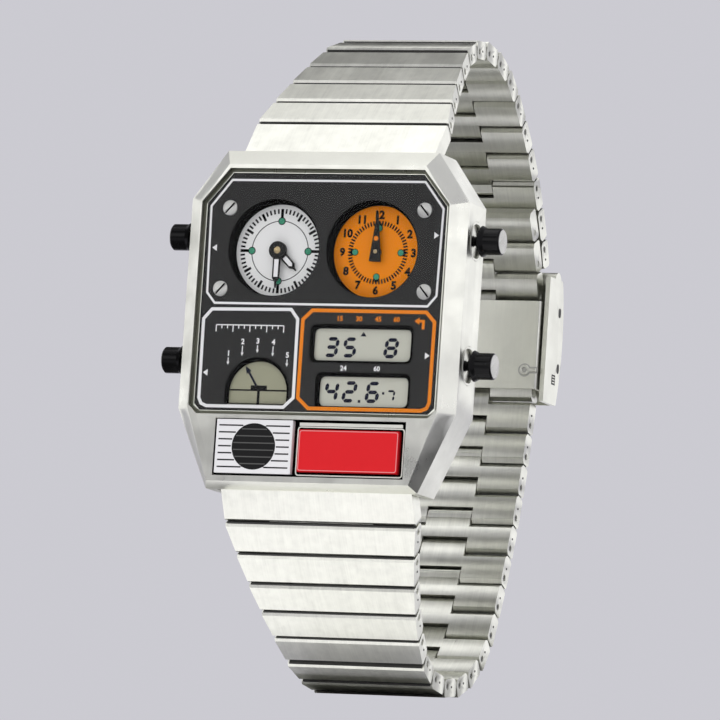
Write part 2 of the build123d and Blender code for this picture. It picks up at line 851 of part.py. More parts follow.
def group_name(half, group):
    """Node name of a group of links, by half and numbers."""
    if len(group) == 1:
        return f"{half}_link_{group[0]:02d}"
    return f"{half}_links_{group[0]:02d}_{group[-1]:02d}"


upper_headings = closing_headings(clasp_pivot, upper_end_pitch, upper_start_angle, corner_start_angle,
                                  upper_front_angles, upper_corner_links, upper_back_angles)
sleeve_line = clasp_pivot[0] - sleeve_set_in
sleeve_entry = clasp_pivot[1] - sleeve_entry_drop
lower_headings = closing_headings((sleeve_line, -sleeve_entry), lower_end_pitch, lower_start_angle,
                                  corner_start_angle, lower_front_angles, lower_corner_links,
                                  lower_back_angles)
upper_pivots = path_points(upper_headings, upper_end_pitch)
lower_pivots = path_points(lower_headings, lower_end_pitch)
print("upper headings", [round(h, 1) for h in upper_headings], "links", len(upper_headings))
print("lower headings", [round(h, 1) for h in lower_headings], "links", len(lower_headings))

for group in upper_groups:
    write_links(group_name("upper", group), group, upper_pivots, upper_headings, 1, last=upper_links)
for group in lower_groups:
    write_links(group_name("lower", group), group, lower_pivots, lower_headings, -1)

# Links inside the clasp lie straight, and the free tail leans towards the wrist
straight = 90.0
tail_headings = [-straight] * gripped_links
for bend in tail_angles:
    tail_headings.append(tail_headings[-1] - bend)
tail_pivots = [(sleeve_line, -sleeve_entry)]
for heading in tail_headings:
    turn = math.radians(heading)
    tail_pivots.append((tail_pivots[-1][0] + link_pitch * math.cos(turn),
                        tail_pivots[-1][1] + link_pitch * math.sin(turn)))
tail_groups = [("gripped_links", range(gripped_links))]
tail_groups += [(f"tail_link_{n + 1}", [gripped_links + n]) for n in range(tail_links)]
for name, members in tail_groups:
    with BuildPart() as node:
        for index in members:
            number = lower_links + 1 + index
            side, plan = link_planes(tail_pivots[index], tail_headings[index], -1)
            has_lap = index < gripped_links + tail_links - 1
            add(link_solid(side, plan, link_pitch, number, link_gap, has_lap=has_lap))
            add(pin_solid(side, pin_radius, pin_half(number)))
    write(node, name)

# Clasp sleeve: folded sheet round the links that it grips
sleeve_bottom = sleeve_entry + sleeve_start
sleeve_top = sleeve_bottom + sleeve_length
sleeve_inner_half = clasp_band_half + sleeve_play
sleeve_outer_half = sleeve_inner_half + sleeve_sheet
sleeve_floor = sleeve_line - inner_rise - sleeve_play
sleeve_roof = sleeve_line + outer_rise + sleeve_play
with BuildPart() as clasp_sleeve:
    sleeve_middle = (sleeve_floor + sleeve_roof) / 2
    with BuildSketch(Plane.XY.offset(sleeve_bottom)):
        with Locations((0, sleeve_middle)):
            Rectangle(2 * sleeve_outer_half, sleeve_roof - sleeve_floor + 2 * sleeve_sheet)
            Rectangle(2 * sleeve_inner_half, sleeve_roof - sleeve_floor, mode=Mode.SUBTRACT)
    extrude(amount=sleeve_length)
    window_half = sleeve_outer_half - sleeve_lip
    with BuildSketch(Plane(origin=(0, sleeve_roof, 0), x_dir=(1, 0, 0), z_dir=(0, -1, 0))):
        with Locations((0, (sleeve_bottom + sleeve_top) / 2)):
            Rectangle(2 * window_half, sleeve_length - 2 * sleeve_bar)
    extrude(amount=-sleeve_sheet, mode=Mode.SUBTRACT)
    fillet(clasp_sleeve.edges().filter_by(Axis.Z).sort_by(Axis.Y)[:2], radius=sleeve_sheet / 2)
write(clasp_sleeve, "clasp_sleeve")

# Locking plate in the sleeve's window, which presses on the links
lock_floor = sleeve_line + outer_rise + lock_play
with BuildPart() as lock_plate:
    with BuildSketch(Plane(origin=(0, lock_floor, 0), x_dir=(1, 0, 0), z_dir=(0, -1, 0))):
        with Locations((0, (sleeve_bottom + sleeve_top) / 2)):
            Rectangle(2 * (window_half - lock_play), sleeve_length - 2 * sleeve_bar - 2 * lock_play)
    extrude(amount=-sleeve_sheet)
write(lock_plate, "clasp_lock_plate")

# Clasp cover: a crowned channel that hangs from the last upper link
cover_half = sleeve_outer_half + cover_play + cover_sheet
pivot_y, pivot_z = clasp_pivot
cover_end_y = pivot_y + cover_barrel + slide_fit
cover_inner_edge = cover_end_y - cover_cheek
cover_low = pivot_z - cover_length
cover_mid = pivot_z - cover_length / 2


side_view = Plane(origin=(0, 0, 0), x_dir=(0, 1, 0), z_dir=(1, 0, 0))


def crowned_profile(inner_y, low, high, rise):
    """Side outline between a straight inner edge and the crowned outer face."""
    with BuildSketch(side_view, mode=Mode.PRIVATE) as profile:
        with BuildLine():
            Line((inner_y, low), (cover_end_y + rise, low))
            ThreePointArc((cover_end_y + rise, low), (cover_end_y + cover_crown + rise, cover_mid),
                          (cover_end_y + rise, high))
            Line((cover_end_y + rise, high), (inner_y, high))
            Line((inner_y, high), (inner_y, low))
        make_face()
    return profile.sketch


with BuildPart() as cover_shell:
    extrude(crowned_profile(cover_inner_edge, cover_low, pivot_z + cover_top_lap, cover_sheet),
            amount=cover_half, both=True)
    extrude(crowned_profile(cover_inner_edge - overrun, cover_low - overrun, pivot_z + overrun, 0),
            amount=cover_half - cover_sheet, both=True, mode=Mode.SUBTRACT)
    # Rounded cheeks and barrels carry the bar of the last link
    with BuildSketch(side_view):
        with Locations(clasp_pivot):
            Circle(cover_barrel)
    extrude(amount=cover_half, both=True)
    with BuildSketch(side_view):
        with Locations(clasp_pivot):
            Circle(cover_barrel + overrun)
    extrude(amount=clasp_band_half - side_column + lap_play, both=True, mode=Mode.SUBTRACT)
    with BuildSketch(side_view):
        with Locations(clasp_pivot):
            Circle(pin_radius + slide_fit)
    extrude(amount=cover_half - cover_sheet / 2, both=True, mode=Mode.SUBTRACT)
    # Small holes and a catch notch in both cheeks
    with BuildSketch(side_view):
        with Locations((cover_end_y, cover_mid + cover_length / 4),
                       (cover_end_y + cover_crown / 2, cover_mid - cover_length / 5)):
            Circle(cover_hole_radius)
        with Locations((cover_end_y - cover_notch, cover_low + cover_length / 5)):
            Rectangle(cover_notch, cover_notch)
    extrude(amount=cover_half + overrun, both=True, mode=Mode.SUBTRACT)
with BuildPart() as cover_bar:
    with BuildSketch(side_view):
        with Locations(clasp_pivot):
            Circle(pin_radius)
    extrude(amount=cover_half - cover_sheet / 2 - slide_fit, both=True)
with BuildPart() as clasp_cover:
    add(cover_shell.part)
    add(cover_bar.part)
write(clasp_cover, "clasp_cover")
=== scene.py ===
"""A wristwatch with two dials and three liquid crystal windows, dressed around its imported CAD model."""

import logging
import math
from collections.abc import Iterable, Sequence
from dataclasses import dataclass, field
from enum import Enum

import bmesh
import bpy
from mathutils import Matrix, Vector


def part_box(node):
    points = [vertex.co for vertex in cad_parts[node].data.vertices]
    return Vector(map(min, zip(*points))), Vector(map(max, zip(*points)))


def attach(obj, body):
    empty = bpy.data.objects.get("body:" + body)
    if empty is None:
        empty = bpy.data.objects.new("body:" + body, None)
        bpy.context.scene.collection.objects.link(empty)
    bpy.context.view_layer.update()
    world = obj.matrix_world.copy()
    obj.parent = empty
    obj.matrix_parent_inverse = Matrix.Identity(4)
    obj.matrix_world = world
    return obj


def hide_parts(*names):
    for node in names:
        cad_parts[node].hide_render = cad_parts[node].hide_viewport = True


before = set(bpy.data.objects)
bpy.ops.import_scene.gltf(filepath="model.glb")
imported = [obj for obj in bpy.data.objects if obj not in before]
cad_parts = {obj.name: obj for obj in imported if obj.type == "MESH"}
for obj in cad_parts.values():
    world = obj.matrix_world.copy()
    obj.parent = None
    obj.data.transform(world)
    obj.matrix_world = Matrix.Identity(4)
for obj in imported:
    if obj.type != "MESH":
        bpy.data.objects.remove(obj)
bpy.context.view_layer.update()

LOG = logging.getLogger("watch")
MM = 0.001
Point = tuple[float, float]
Place = tuple[float, float, float]
Colour = tuple[float, float, float]
Sockets = bpy.types.bpy_prop_collection

# Sizes in millimetres: how deep a finish's marks go, and how near two points count as one
MARK_DEPTH = 0.02
SAME_POINT = 0.0005

# Where the dials and windows are, in millimetres from the case back's middle
TIME_CENTRE: Point = (-6.5, 8.7)
ZONE_CENTRE: Point = (6.5, 8.7)
UPPER_WINDOW: Point = (5.85, -3.0)
LOWER_WINDOW: Point = (6.4, -8.8)
MODE_WINDOW: Point = (-7.6, -9.15)


class Slot(str, Enum):
    """The record's material slots named beside each added piece, though no piece is given one."""

    CASE = "case_steel"
    BAND = "band_steel"
    DIAL = "dial_black"
    SCREW = "screw_steel"
    WHITE = "dial_white"
    ORANGE = "dial_orange"
    LCD = "lcd_grey"
    HAND = "hand_black"
    GRILLE = "grille_white"
    RED = "plate_red"
    BRASS = "movement_brass"
    PUSHER = "pusher_black"


class Grain(Enum):
    """How far brush marks are drawn out along each axis, as a share of their spacing across it."""

    ALONG_BAND = (1.0, 0.035, 0.035)
    ACROSS = (0.03, 1.0, 1.0)
    UPRIGHT = (1.0, 1.0, 0.03)
    NONE = (1.0, 1.0, 1.0)


# Shader nodes


class Graph:
    """A node tree, with short ways to add its nodes and join them."""

    def __init__(self, tree: bpy.types.NodeTree) -> None:
        """Hold the tree."""
        self.tree = tree

    def add(self, kind: str, fed: dict[int | str, object] | None = None, **settings: object) -> Sockets:
        """Add a node.

        Args:
            kind: Its type, without the word that all shader nodes start with.
            fed: What its inputs get: a socket is joined on, and any other value is set.
            settings: The node's own settings.

        Returns:
            The node's outputs.
        """
        node = self.tree.nodes.new("ShaderNode" + kind)
        for name, value in settings.items():
            setattr(node, name, value)
        self.feed(node, fed or {})
        return node.outputs

    def feed(self, node: bpy.types.Node, fed: dict[int | str, object]) -> None:
        """Join sockets to a node's inputs, or set their values.

        Args:
            node: The node.
            fed: What its inputs get, by their names or numbers.
        """
        for key, value in fed.items():
            if isinstance(value, bpy.types.NodeSocket):
                self.tree.links.new(value, node.inputs[key])
            else:
                node.inputs[key].default_value = value

    def maths(self, operation: str, *fed: object) -> bpy.types.NodeSocket:
        """Work out a sum of sockets and numbers."""
        return self.add("Math", dict(enumerate(fed)), operation=operation)[0]

    def noise(self, place: bpy.types.NodeSocket, scale: object, detail: float) -> bpy.types.NodeSocket:
        """Give a noise pattern's strength at a place."""
        return self.add("TexNoise", {"Vector": place, "Scale": scale, "Detail": detail})["Fac"]

    def mixed(self, mask: bpy.types.NodeSocket, low: object, high: object) -> bpy.types.NodeSocket:
        """Mix two colours by a mask: the first at 0 and the second at 1."""
        return self.add("Mix", {"A": low, "B": high, "Factor": mask}, data_type="RGBA")["Result"]

    def clear_where(self, mask: bpy.types.NodeSocket, shader: bpy.types.Node) -> None:
        """Let the surface be clear where a mask is 1.

        Args:
            mask: The mask's socket.
            shader: The shader where it is 0.
        """
        clear = self.add("BsdfTransparent")["BSDF"]
        fed = {"Fac": mask, 1: shader.outputs["BSDF"], 2: clear}
        surface = {"Surface": self.add("MixShader", fed)["Shader"]}
        self.feed(self.tree.nodes["Material Output"], surface)


class Effect(Enum):
    """The node groups that several finishes share, each built once.

    Each holds its inputs with the values they start at, and the names of its outputs.
    """

    BRUSH_MARKS = ({"Stretch": (1.0, 1.0, 1.0), "Density": 9000.0}, ("Height", "Tone"))
    HANDLING = ({"Scale": 250.0, "Low": 0.2, "High": 0.4}, ("Value",))
    CROWN = ({"Axis": (0.0, 0.0, 1.0), "Plates": 1.0}, ("Height",))
    EDGE_WEAR = ({"Reach": 0.06, "Patches": 900.0}, ("Mask",))

    def tree(self) -> bpy.types.NodeTree:
        """Give the group, built where it isn't there yet.

        Returns:
            The group's tree.
        """
        name = self.name.lower()
        if name in bpy.data.node_groups:
            return bpy.data.node_groups[name]
        inputs, outputs = self.value
        tree = bpy.data.node_groups.new(name, "ShaderNodeTree")
        for label, default in inputs.items():
            kind = "NodeSocketVector" if isinstance(default, tuple) else "NodeSocketFloat"
            socket = tree.interface.new_socket(name=label, in_out="INPUT", socket_type=kind)
            socket.default_value = default
        for label in outputs:
            tree.interface.new_socket(name=label, in_out="OUTPUT", socket_type="NodeSocketFloat")
        given = tree.nodes.new("NodeGroupInput").outputs
        recipes = {
            Effect.BRUSH_MARKS: self._brush_marks,
            Effect.HANDLING: self._handling,
            Effect.CROWN: self._crown,
            Effect.EDGE_WEAR: self._edge_wear,
        }
        results = recipes[self](Graph(tree), given)
        Graph(tree).feed(tree.nodes.new("NodeGroupOutput"), dict(zip(outputs, results)))
        return tree

    @staticmethod
    def _brush_marks(graph: Graph, given: Sockets) -> Sequence[bpy.types.NodeSocket]:
        """Work out fine streaks: a height for bump and a tone for colour and gloss.

        Args:
            graph: The group's nodes.
            given: The group's inputs.

        Returns:
            What its outputs get, in their order.
        """
        coarse_share = 0.22
        fed = {0: graph.add("TexCoord")["Object"], 1: given["Stretch"]}
        place = graph.add("VectorMath", fed, operation="MULTIPLY")["Vector"]
        fine = graph.noise(place, given["Density"], 3.0)
        coarse = graph.noise(place, graph.maths("MULTIPLY", given["Density"], coarse_share), 2.0)
        return fine, graph.maths("MULTIPLY", graph.maths("ADD", fine, coarse), 0.5)

    @staticmethod
    def _handling(graph: Graph, given: Sockets) -> Sequence[bpy.types.NodeSocket]:
        """Work out the faint smears and dust that change how glossy a surface is.

        Args:
            graph: The group's nodes.
            given: The group's inputs.

        Returns:
            What its outputs get, in their order.
        """
        smear = graph.noise(graph.add("TexCoord")["Object"], given["Scale"], 4.0)
        ends = {"From Min": 0.3, "From Max": 0.7, "To Min": given["Low"], "To Max": given["High"]}
        return (graph.add("MapRange", {"Value": smear, **ends})["Result"],)

    @staticmethod
    def _crown(graph: Graph, given: Sockets) -> Sequence[bpy.types.NodeSocket]:
        """Work out a low crown on each plate: 1 along its middle and 0 at both ends.

        Args:
            graph: The group's nodes.
            given: The group's inputs.

        Returns:
            What its outputs get, in their order.
        """
        fed = {0: graph.add("TexCoord")["Generated"], 1: given["Axis"]}
        along = graph.add("VectorMath", fed, operation="DOT_PRODUCT")["Value"]
        within = graph.maths("FRACT", graph.maths("MULTIPLY", along, given["Plates"]))
        off_middle = graph.maths("SUBTRACT", within, 0.5)
        square = graph.maths("MULTIPLY", off_middle, off_middle)
        return (graph.maths("MULTIPLY_ADD", square, -4.0, 1.0),)

    @staticmethod
    def _edge_wear(graph: Graph, given: Sockets) -> Sequence[bpy.types.NodeSocket]:
        """Find rubbed outer edges: 1 on a worn edge and 0 on a flat.

        Args:
            graph: The group's nodes.
            given: The group's inputs.

        Returns:
            What its outputs get, in their order.
        """
        pointed = graph.add("NewGeometry")["Pointiness"]
        ends = {"From Min": 0.5, "From Max": graph.maths("ADD", given["Reach"], 0.5)}
        edge = graph.add("MapRange", {"Value": pointed, **ends})["Result"]
        patches = graph.noise(graph.add("TexCoord")["Object"], given["Patches"], 3.0)
        return (graph.maths("MULTIPLY", edge, patches),)


def shaded(colour: Colour, share: float = 1.0) -> tuple[float, float, float, float]:
    """Give a colour made lighter or darker by a share, for a node."""
    return (*(min(1.0, channel * share) for channel in colour), 1.0)


# Finishes


@dataclass(frozen=True)
class Finish:
    """What every finish has: a name, and a way to make its material."""

    name: str

    def build(self) -> bpy.types.Material:
        """Make the material."""
        material = bpy.data.materials.new(self.name)
        material.use_nodes = True
        self.shade(Graph(material.node_tree), material.node_tree.nodes["Principled BSDF"])
        return material

    def shade(self, graph: Graph, shader: bpy.types.Node) -> None:
        """Set up the nodes, which each kind of finish does in its own way.

        Args:
            graph: The material's nodes.
            shader: Its Principled shader.
        """
        raise NotImplementedError

    def _effect(self, graph: Graph, effect: Effect, **values: object) -> Sockets:
        """Place a shared effect with its values and give its outputs."""
        return graph.add("Group", values, node_tree=effect.tree())


@dataclass(frozen=True)
class Steel(Finish):
    """Brushed or satin steel. The crown is in millimetres."""

    colour: Colour = (0.8, 0.805, 0.73)
    gloss_low: float = 0.2
    gloss_high: float = 0.34
    grain: Grain = Grain.ALONG_BAND
    density: float = 9000.0
    depth: float = 0.25
    streaks: float = 0.12
    crown: float = 0.0
    crown_axis: tuple[float, float, float] = (0.0, 0.0, 1.0)
    crown_plates: float = 1.0
    worn_shine: float = 1.12
    streak_gloss: float = 0.12

    def shade(self, graph: Graph, shader: bpy.types.Node) -> None:
        """Set up streaks, worn edges, smears and a crown.

        Args:
            graph: The material's nodes.
            shader: Its Principled shader.
        """
        marks = self._effect(
            graph, Effect.BRUSH_MARKS, Stretch=self.grain.value, Density=self.density
        )
        worn = self._effect(graph, Effect.EDGE_WEAR)["Mask"]
        smears = self._effect(graph, Effect.HANDLING, Low=self.gloss_low, High=self.gloss_high)
        low = shaded(self.colour, 1.0 - self.streaks)
        streaked = graph.mixed(marks["Tone"], low, shaded(self.colour, 1.0 + self.streaks / 2))
        bump = {"Strength": self.depth, "Distance": MARK_DEPTH * MM, "Height": marks["Height"]}
        if self.crown:
            plates = self._effect(
                graph, Effect.CROWN, Axis=self.crown_axis, Plates=self.crown_plates
            )
            curve = {"Distance": self.crown * MM, "Height": plates["Height"]}
            bump["Normal"] = graph.add("Bump", curve)["Normal"]
        fed = {
            "Base Color": graph.mixed(worn, streaked, shaded(self.colour, self.worn_shine)),
            "Roughness": graph.maths("MULTIPLY_ADD", marks["Tone"], self.streak_gloss, smears["Value"]),
            "Normal": graph.add("Bump", bump)["Normal"],
            "Metallic": 1.0,
        }
        graph.feed(shader, fed)


@dataclass(frozen=True)
class Coating(Finish):
    """Paint, enamel, print, rubber or moulded plastic."""

    colour: Colour
    gloss_low: float = 0.3
    gloss_high: float = 0.45
    mottle: float = 0.08
    scale: float = 1500.0
    texture: float = 0.1
    coat: float = 0.0
    metal: float = 0.0
    shine: float = 0.5

    def shade(self, graph: Graph, shader: bpy.types.Node) -> None:
        """Set up the mottle, the texture and the smears.

        Args:
            graph: The material's nodes.
            shader: Its Principled shader.
        """
        marks = self._effect(
            graph, Effect.BRUSH_MARKS, Stretch=Grain.NONE.value, Density=self.scale
        )
        smears = self._effect(graph, Effect.HANDLING, Low=self.gloss_low, High=self.gloss_high)
        low, high = (shaded(self.colour, 1.0 + change) for change in (-self.mottle, self.mottle))
        bump = {"Strength": self.texture, "Distance": MARK_DEPTH * MM, "Height": marks["Height"]}
        fed = {
            "Base Color": graph.mixed(marks["Tone"], low, high),
            "Roughness": smears["Value"],
            "Normal": graph.add("Bump", bump)["Normal"],
            "Metallic": self.metal,
            "Coat Weight": self.coat,
            "Coat Roughness": 0.06,
            "Specular IOR Level": self.shine,
        }
        graph.feed(shader, fed)


@dataclass(frozen=True)
class Crystal(Finish):
    """The clear mineral glass over the dial: clear to the light that falls through it."""

    def shade(self, graph: Graph, shader: bpy.types.Node) -> None:
        """Set up the glass.

        Args:
            graph: The material's nodes.
            shader: Its Principled shader.
        """
        smears = self._effect(graph, Effect.HANDLING, Low=0.0, High=0.012)
        fed = {
            "Transmission Weight": 1.0,
            "IOR": 1.12,
            "Base Color": (0.99, 0.995, 0.99, 1.0),
            "Roughness": smears["Value"],
        }
        graph.feed(shader, fed)
        rays = graph.add("LightPath")
        graph.clear_where(graph.maths("MAXIMUM", rays["Is Shadow Ray"], rays["Is Diffuse Ray"]), shader)


@dataclass(frozen=True)
class PusherCap(Finish):
    """Black lacquer round a push button, bare beyond a distance from the case's middle line."""

    face_from: float
    lacquer: Colour = (0.005, 0.005, 0.005)
    bare: Colour = (0.44, 0.44, 0.42)

    def shade(self, graph: Graph, shader: bpy.types.Node) -> None:
        """Set up the lacquer and the bare end face.

        Args:
            graph: The material's nodes.
            shader: Its Principled shader.
        """
        place = graph.add("SeparateXYZ", {"Vector": graph.add("TexCoord")["Object"]})
        size = graph.maths("ABSOLUTE", place["X"])
        beyond = graph.maths("GREATER_THAN", size, self.face_from * MM)
        fed = {
            "Base Color": graph.mixed(beyond, shaded(self.lacquer), shaded(self.bare)),
            "Roughness": self._effect(graph, Effect.HANDLING, Scale=600.0, Low=0.16, High=0.3)["Value"],
            "Metallic": beyond,
            "Specular IOR Level": 0.15,
        }
        graph.feed(shader, fed)


@dataclass(frozen=True)
class FloorPaper(Finish):
    """The pale floor, which only its upper side shows."""

    low: Colour = (0.66, 0.655, 0.7)
    high: Colour = (0.7, 0.695, 0.74)

    def shade(self, graph: Graph, shader: bpy.types.Node) -> None:
        """Set up the paper.

        Args:
            graph: The material's nodes.
            shader: Its Principled shader.
        """
        fibres = self._effect(graph, Effect.BRUSH_MARKS, Stretch=Grain.NONE.value, Density=400.0)
        colour = graph.mixed(fibres["Tone"], shaded(self.low), shaded(self.high))
        graph.feed(shader, {"Base Color": colour, "Roughness": 0.9})
        graph.clear_where(graph.add("NewGeometry")["Backfacing"], shader)


def ink(name: str, colour: Colour) -> Coating:
    """Give a printed colour with hardly any shine."""
    return Coating(name, colour, 0.5, 0.6, mottle=0.04, shine=0.15)


class Finishes:
    """Every finish on the watch, made once."""

    def __init__(self) -> None:
        """Build all the materials."""
        self._band: dict[tuple[bool, int, float], bpy.types.Material] = {}
        self.case = Steel(
            "brushed_case_steel", grain=Grain.UPRIGHT, depth=0.08, streaks=0.06, crown=0.9
        ).build()
        self.clasp = Steel("satin_clasp_steel", gloss_low=0.24, gloss_high=0.36, depth=0.15).build()
        self.screw = Steel(
            "screw_steel", (0.52, 0.52, 0.5), 0.25, 0.35, grain=Grain.ACROSS, depth=0.1
        ).build()
        self.silver = Steel("silver_trim", gloss_low=0.2, grain=Grain.ACROSS, depth=0.05).build()
        self.cell = Steel("cell_steel", gloss_low=0.12, gloss_high=0.22, grain=Grain.NONE).build()
        self.pin = Coating("pin_end_shadow", (0.03, 0.03, 0.028), metal=0.6).build()
        # Painted shade: the near black that fills the gaps between links and the clasp cover's holes and
        # notch.
        self.seam = Coating("dark_seam", (0.035, 0.035, 0.032), 0.5, 0.6).build()
        self.dial = Coating(
            "satin_dial_black", (0.021, 0.021, 0.02), 0.5, 0.6, 0.02, texture=0.004, shine=0.2
        ).build()
        # Painted shade: a flat black with no shine, laid in recesses, slots, wells and pockets and round
        # the dial's openings where shadow falls.
        self.recess = Coating(
            "painted_recess_shade", (0.002, 0.002, 0.002), 0.8, 0.9, 0.02, texture=0.0, shine=0.0
        ).build()
        self.white_disc = Coating(
            "white_disc_lacquer", (0.97, 0.975, 0.93), 0.5, 0.6, 0.02, texture=0.02, shine=0.2
        ).build()
        self.orange_disc = Coating(
            "orange_disc_lacquer", (1.0, 0.29, 0.004), 0.5, 0.6, 0.03, texture=0.02, shine=0.1
        ).build()
        self.lcd = Coating(
            "liquid_crystal", (0.57, 0.575, 0.475), 0.35, 0.45, 0.03, texture=0.02, shine=0.25
        ).build()
        # Painted shade: a darker copy of the liquid crystal for the round window.
        self.mode_lcd = Coating(
            "shaded_liquid_crystal", (0.34, 0.34, 0.23), 0.35, 0.45, 0.06, texture=0.02, shine=0.25
        ).build()
        self.red = Coating(
            "red_enamel", (0.8, 0.009, 0.015), 0.3, 0.42, 0.03, texture=0.03, shine=0.2
        ).build()
        self.white_print = ink("white_print", (0.9, 0.9, 0.88)).build()
        self.orange_print = ink("orange_print", (0.88, 0.25, 0.012)).build()
        self.black_print = ink("black_print", (0.004, 0.004, 0.004)).build()
        self.segment = ink("crystal_segment", (0.006, 0.008, 0.022)).build()
        # Painted highlight: the light grey of the grille louvres' lit edges.
        self.bars = ink("grille_bar_highlight_grey", (0.11, 0.11, 0.105)).build()
        self.lume = Coating("green_lume", (0.06, 0.33, 0.19), 0.5, 0.7, texture=0.4, shine=0.2).build()
        self.hand = Coating("hand_black_lacquer", (0.004, 0.004, 0.004), 0.3, 0.42, shine=0.25).build()
        self.brass = Coating("turned_brass", (0.5, 0.39, 0.22), 0.2, 0.35, metal=1.0).build()
        self.grille = Coating("grille_white_enamel", (0.9, 0.9, 0.88), mottle=0.015, shine=0.3).build()
        # Painted highlight: a paler copy of the red enamel for the colour plate's edge.
        self.red_edge = Coating("red_enamel_edge_highlight", (0.85, 0.3, 0.3), 0.3, 0.4, shine=0.3).build()
        self.pusher_black = Coating("pusher_black", (0.008, 0.008, 0.008), 0.25, 0.35, shine=0.3).build()
        self.frame = Coating("moulded_frame_grey", (0.12, 0.12, 0.12), 0.45, 0.6, texture=0.3).build()
        self.board = Coating("board_green_lacquer", (0.02, 0.13, 0.05), 0.25, 0.4, coat=0.3).build()
        self.movement = Coating("movement_plating", (0.6, 0.47, 0.24), 0.25, 0.4, metal=1.0).build()
        self.rubber = Coating("gasket_rubber", (0.02, 0.02, 0.02), 0.6, 0.75, texture=0.4).build()
        self.pusher = PusherCap("pusher_lacquer", face_from=21.86).build()
        self.crystal = Crystal("mineral_glass").build()

    def band(self, upright: bool, plates: int, crown: float) -> bpy.types.Material:
        """Give the brushed steel of the links, with a low crown on each plate.

        Args:
            upright: Whether the links stand up rather than lie down.
            plates: How many links share the node.
            crown: The crown's height in millimetres.

        Returns:
            The material.
        """
        key = (upright, plates, crown)
        if key not in self._band:
            self._band[key] = Steel(
                f"brushed_band_steel_{'upright' if upright else 'flat'}_{plates}_{crown:g}",
                gloss_low=0.23,
                gloss_high=0.31,
                density=5500.0,
                depth=0.35,
                streaks=0.42,
                crown=crown,
                crown_axis=(0.0, 0.0, 1.0) if upright else (0.0, 1.0, 0.0),
                crown_plates=float(plates),
            ).build()
        return self._band[key]


# Flat shapes parallel to the dial


def circle(centre: Point, radius: float, count: int = 48) -> list[Point]:
    """Give the outline of a disc.

    Args:
        centre: Its middle.
        radius: Its radius.
        count: How many corners it has.

    Returns:
        The outline's points.
    """
    turns = (2 * math.pi * step / count for step in range(count))
    return [
        (centre[0] + radius * math.sin(turn), centre[1] + radius * math.cos(turn)) for turn in turns
    ]


def oval(centre: Point, across: float, up: float, count: int = 48) -> list[Point]:
    """Give the outline of an oval with fairly straight sides.

    Args:
        centre: Its middle.
        across: Half its width.
        up: Half its height.
        count: How many corners it has.

    Returns:
        The outline's points.
    """
    result: list[Point] = []
    for step in range(count):
        turn = 2 * math.pi * step / count
        x, z = math.sin(turn), math.cos(turn)
        result.append(
            (
                centre[0] + across * math.copysign(abs(x) ** 0.75, x),
                centre[1] + up * math.copysign(abs(z) ** 0.75, z),
            )
        )
    return result


def arch(centre: Point, radius: float, foot: float, steps: int = 32) -> list[Point]:
    """Give the outline of a half disc on a low block.

    Args:
        centre: The half disc's middle.
        radius: Its radius.
        foot: How far the block reaches below the middle.
        steps: How many pieces the curve has.

    Returns:
        The outline's points.
    """
    x, z = centre
    turns = (math.radians(-90 + 180 * step / steps) for step in range(steps + 1))
    curve = [(x + radius * math.sin(turn), z + radius * math.cos(turn)) for turn in turns]
    return curve + [(x + radius, z - foot), (x - radius, z - foot)]


def rectangle(centre: Point, width: float, height: float) -> list[Point]:
    """Give the corners of a rectangle.

    Args:
        centre: Its middle.
        width: Its size across.
        height: Its size up.

    Returns:
        The four corners.
    """
    x, z = centre
    w, h = width / 2, height / 2
    return [(x - w, z - h), (x + w, z - h), (x + w, z + h), (x - w, z + h)]


def eased(points: Sequence[Point], radius: float, steps: int = 5) -> list[Point]:
    """Round every corner of a closed outline.

    Args:
        points: The outline.
        radius: How far back from a corner its curve starts.
        steps: How many pieces each curve has.

    Returns:
        The outline with curved corners.
    """
    result: list[Point] = []
    count = len(points)
    for index in range(count):
        corner = Vector(points[index])
        before = (Vector(points[index - 1]) - corner).normalized() * radius + corner
        after = (Vector(points[(index + 1) % count]) - corner).normalized() * radius + corner
        for step in range(steps + 1):
            t = step / steps
            spot = before * (1 - t) ** 2 + corner * (2 * t * (1 - t)) + after * t**2
            result.append((spot.x, spot.y))
    return result


def inset(points: Sequence[Point], distance: float) -> list[Point]:
    """Move a closed outline in or out, keeping its corners mitred.

    Args:
        points: The outline, either way round.
        distance: How far in; negative for out.

    Returns:
        The moved outline.
    """
    count = len(points)
    area = sum(
        points[i - 1][0] * points[i][1] - points[i][0] * points[i - 1][1] for i in range(count)
    )
    side = distance if area > 0 else -distance
    result: list[Point] = []
    for index in range(count):
        corner = Vector(points[index])
        arriving = (corner - Vector(points[index - 1])).normalized()
        leaving = (Vector(points[(index + 1) % count]) - corner).normalized()
        normals = Vector((-arriving.y, arriving.x)) + Vector((-leaving.y, leaving.x))
        normals.normalize()
        share = max(0.35, normals.dot(Vector((-arriving.y, arriving.x))))
        moved = corner + normals * (side / share)
        result.append((moved.x, moved.y))
    return result


def turned(points: Iterable[Point], degrees: float, centre: Point = (0.0, 0.0)) -> list[Point]:
    """Turn points clockwise as the reader sees them.

    Args:
        points: The points, around (0, 0).
        degrees: The angle.
        centre: Where (0, 0) lands.

    Returns:
        The turned points.
    """
    turn = math.radians(degrees)
    cos, sin = math.cos(turn), math.sin(turn)
    return [(centre[0] + x * cos + z * sin, centre[1] - x * sin + z * cos) for x, z in points]


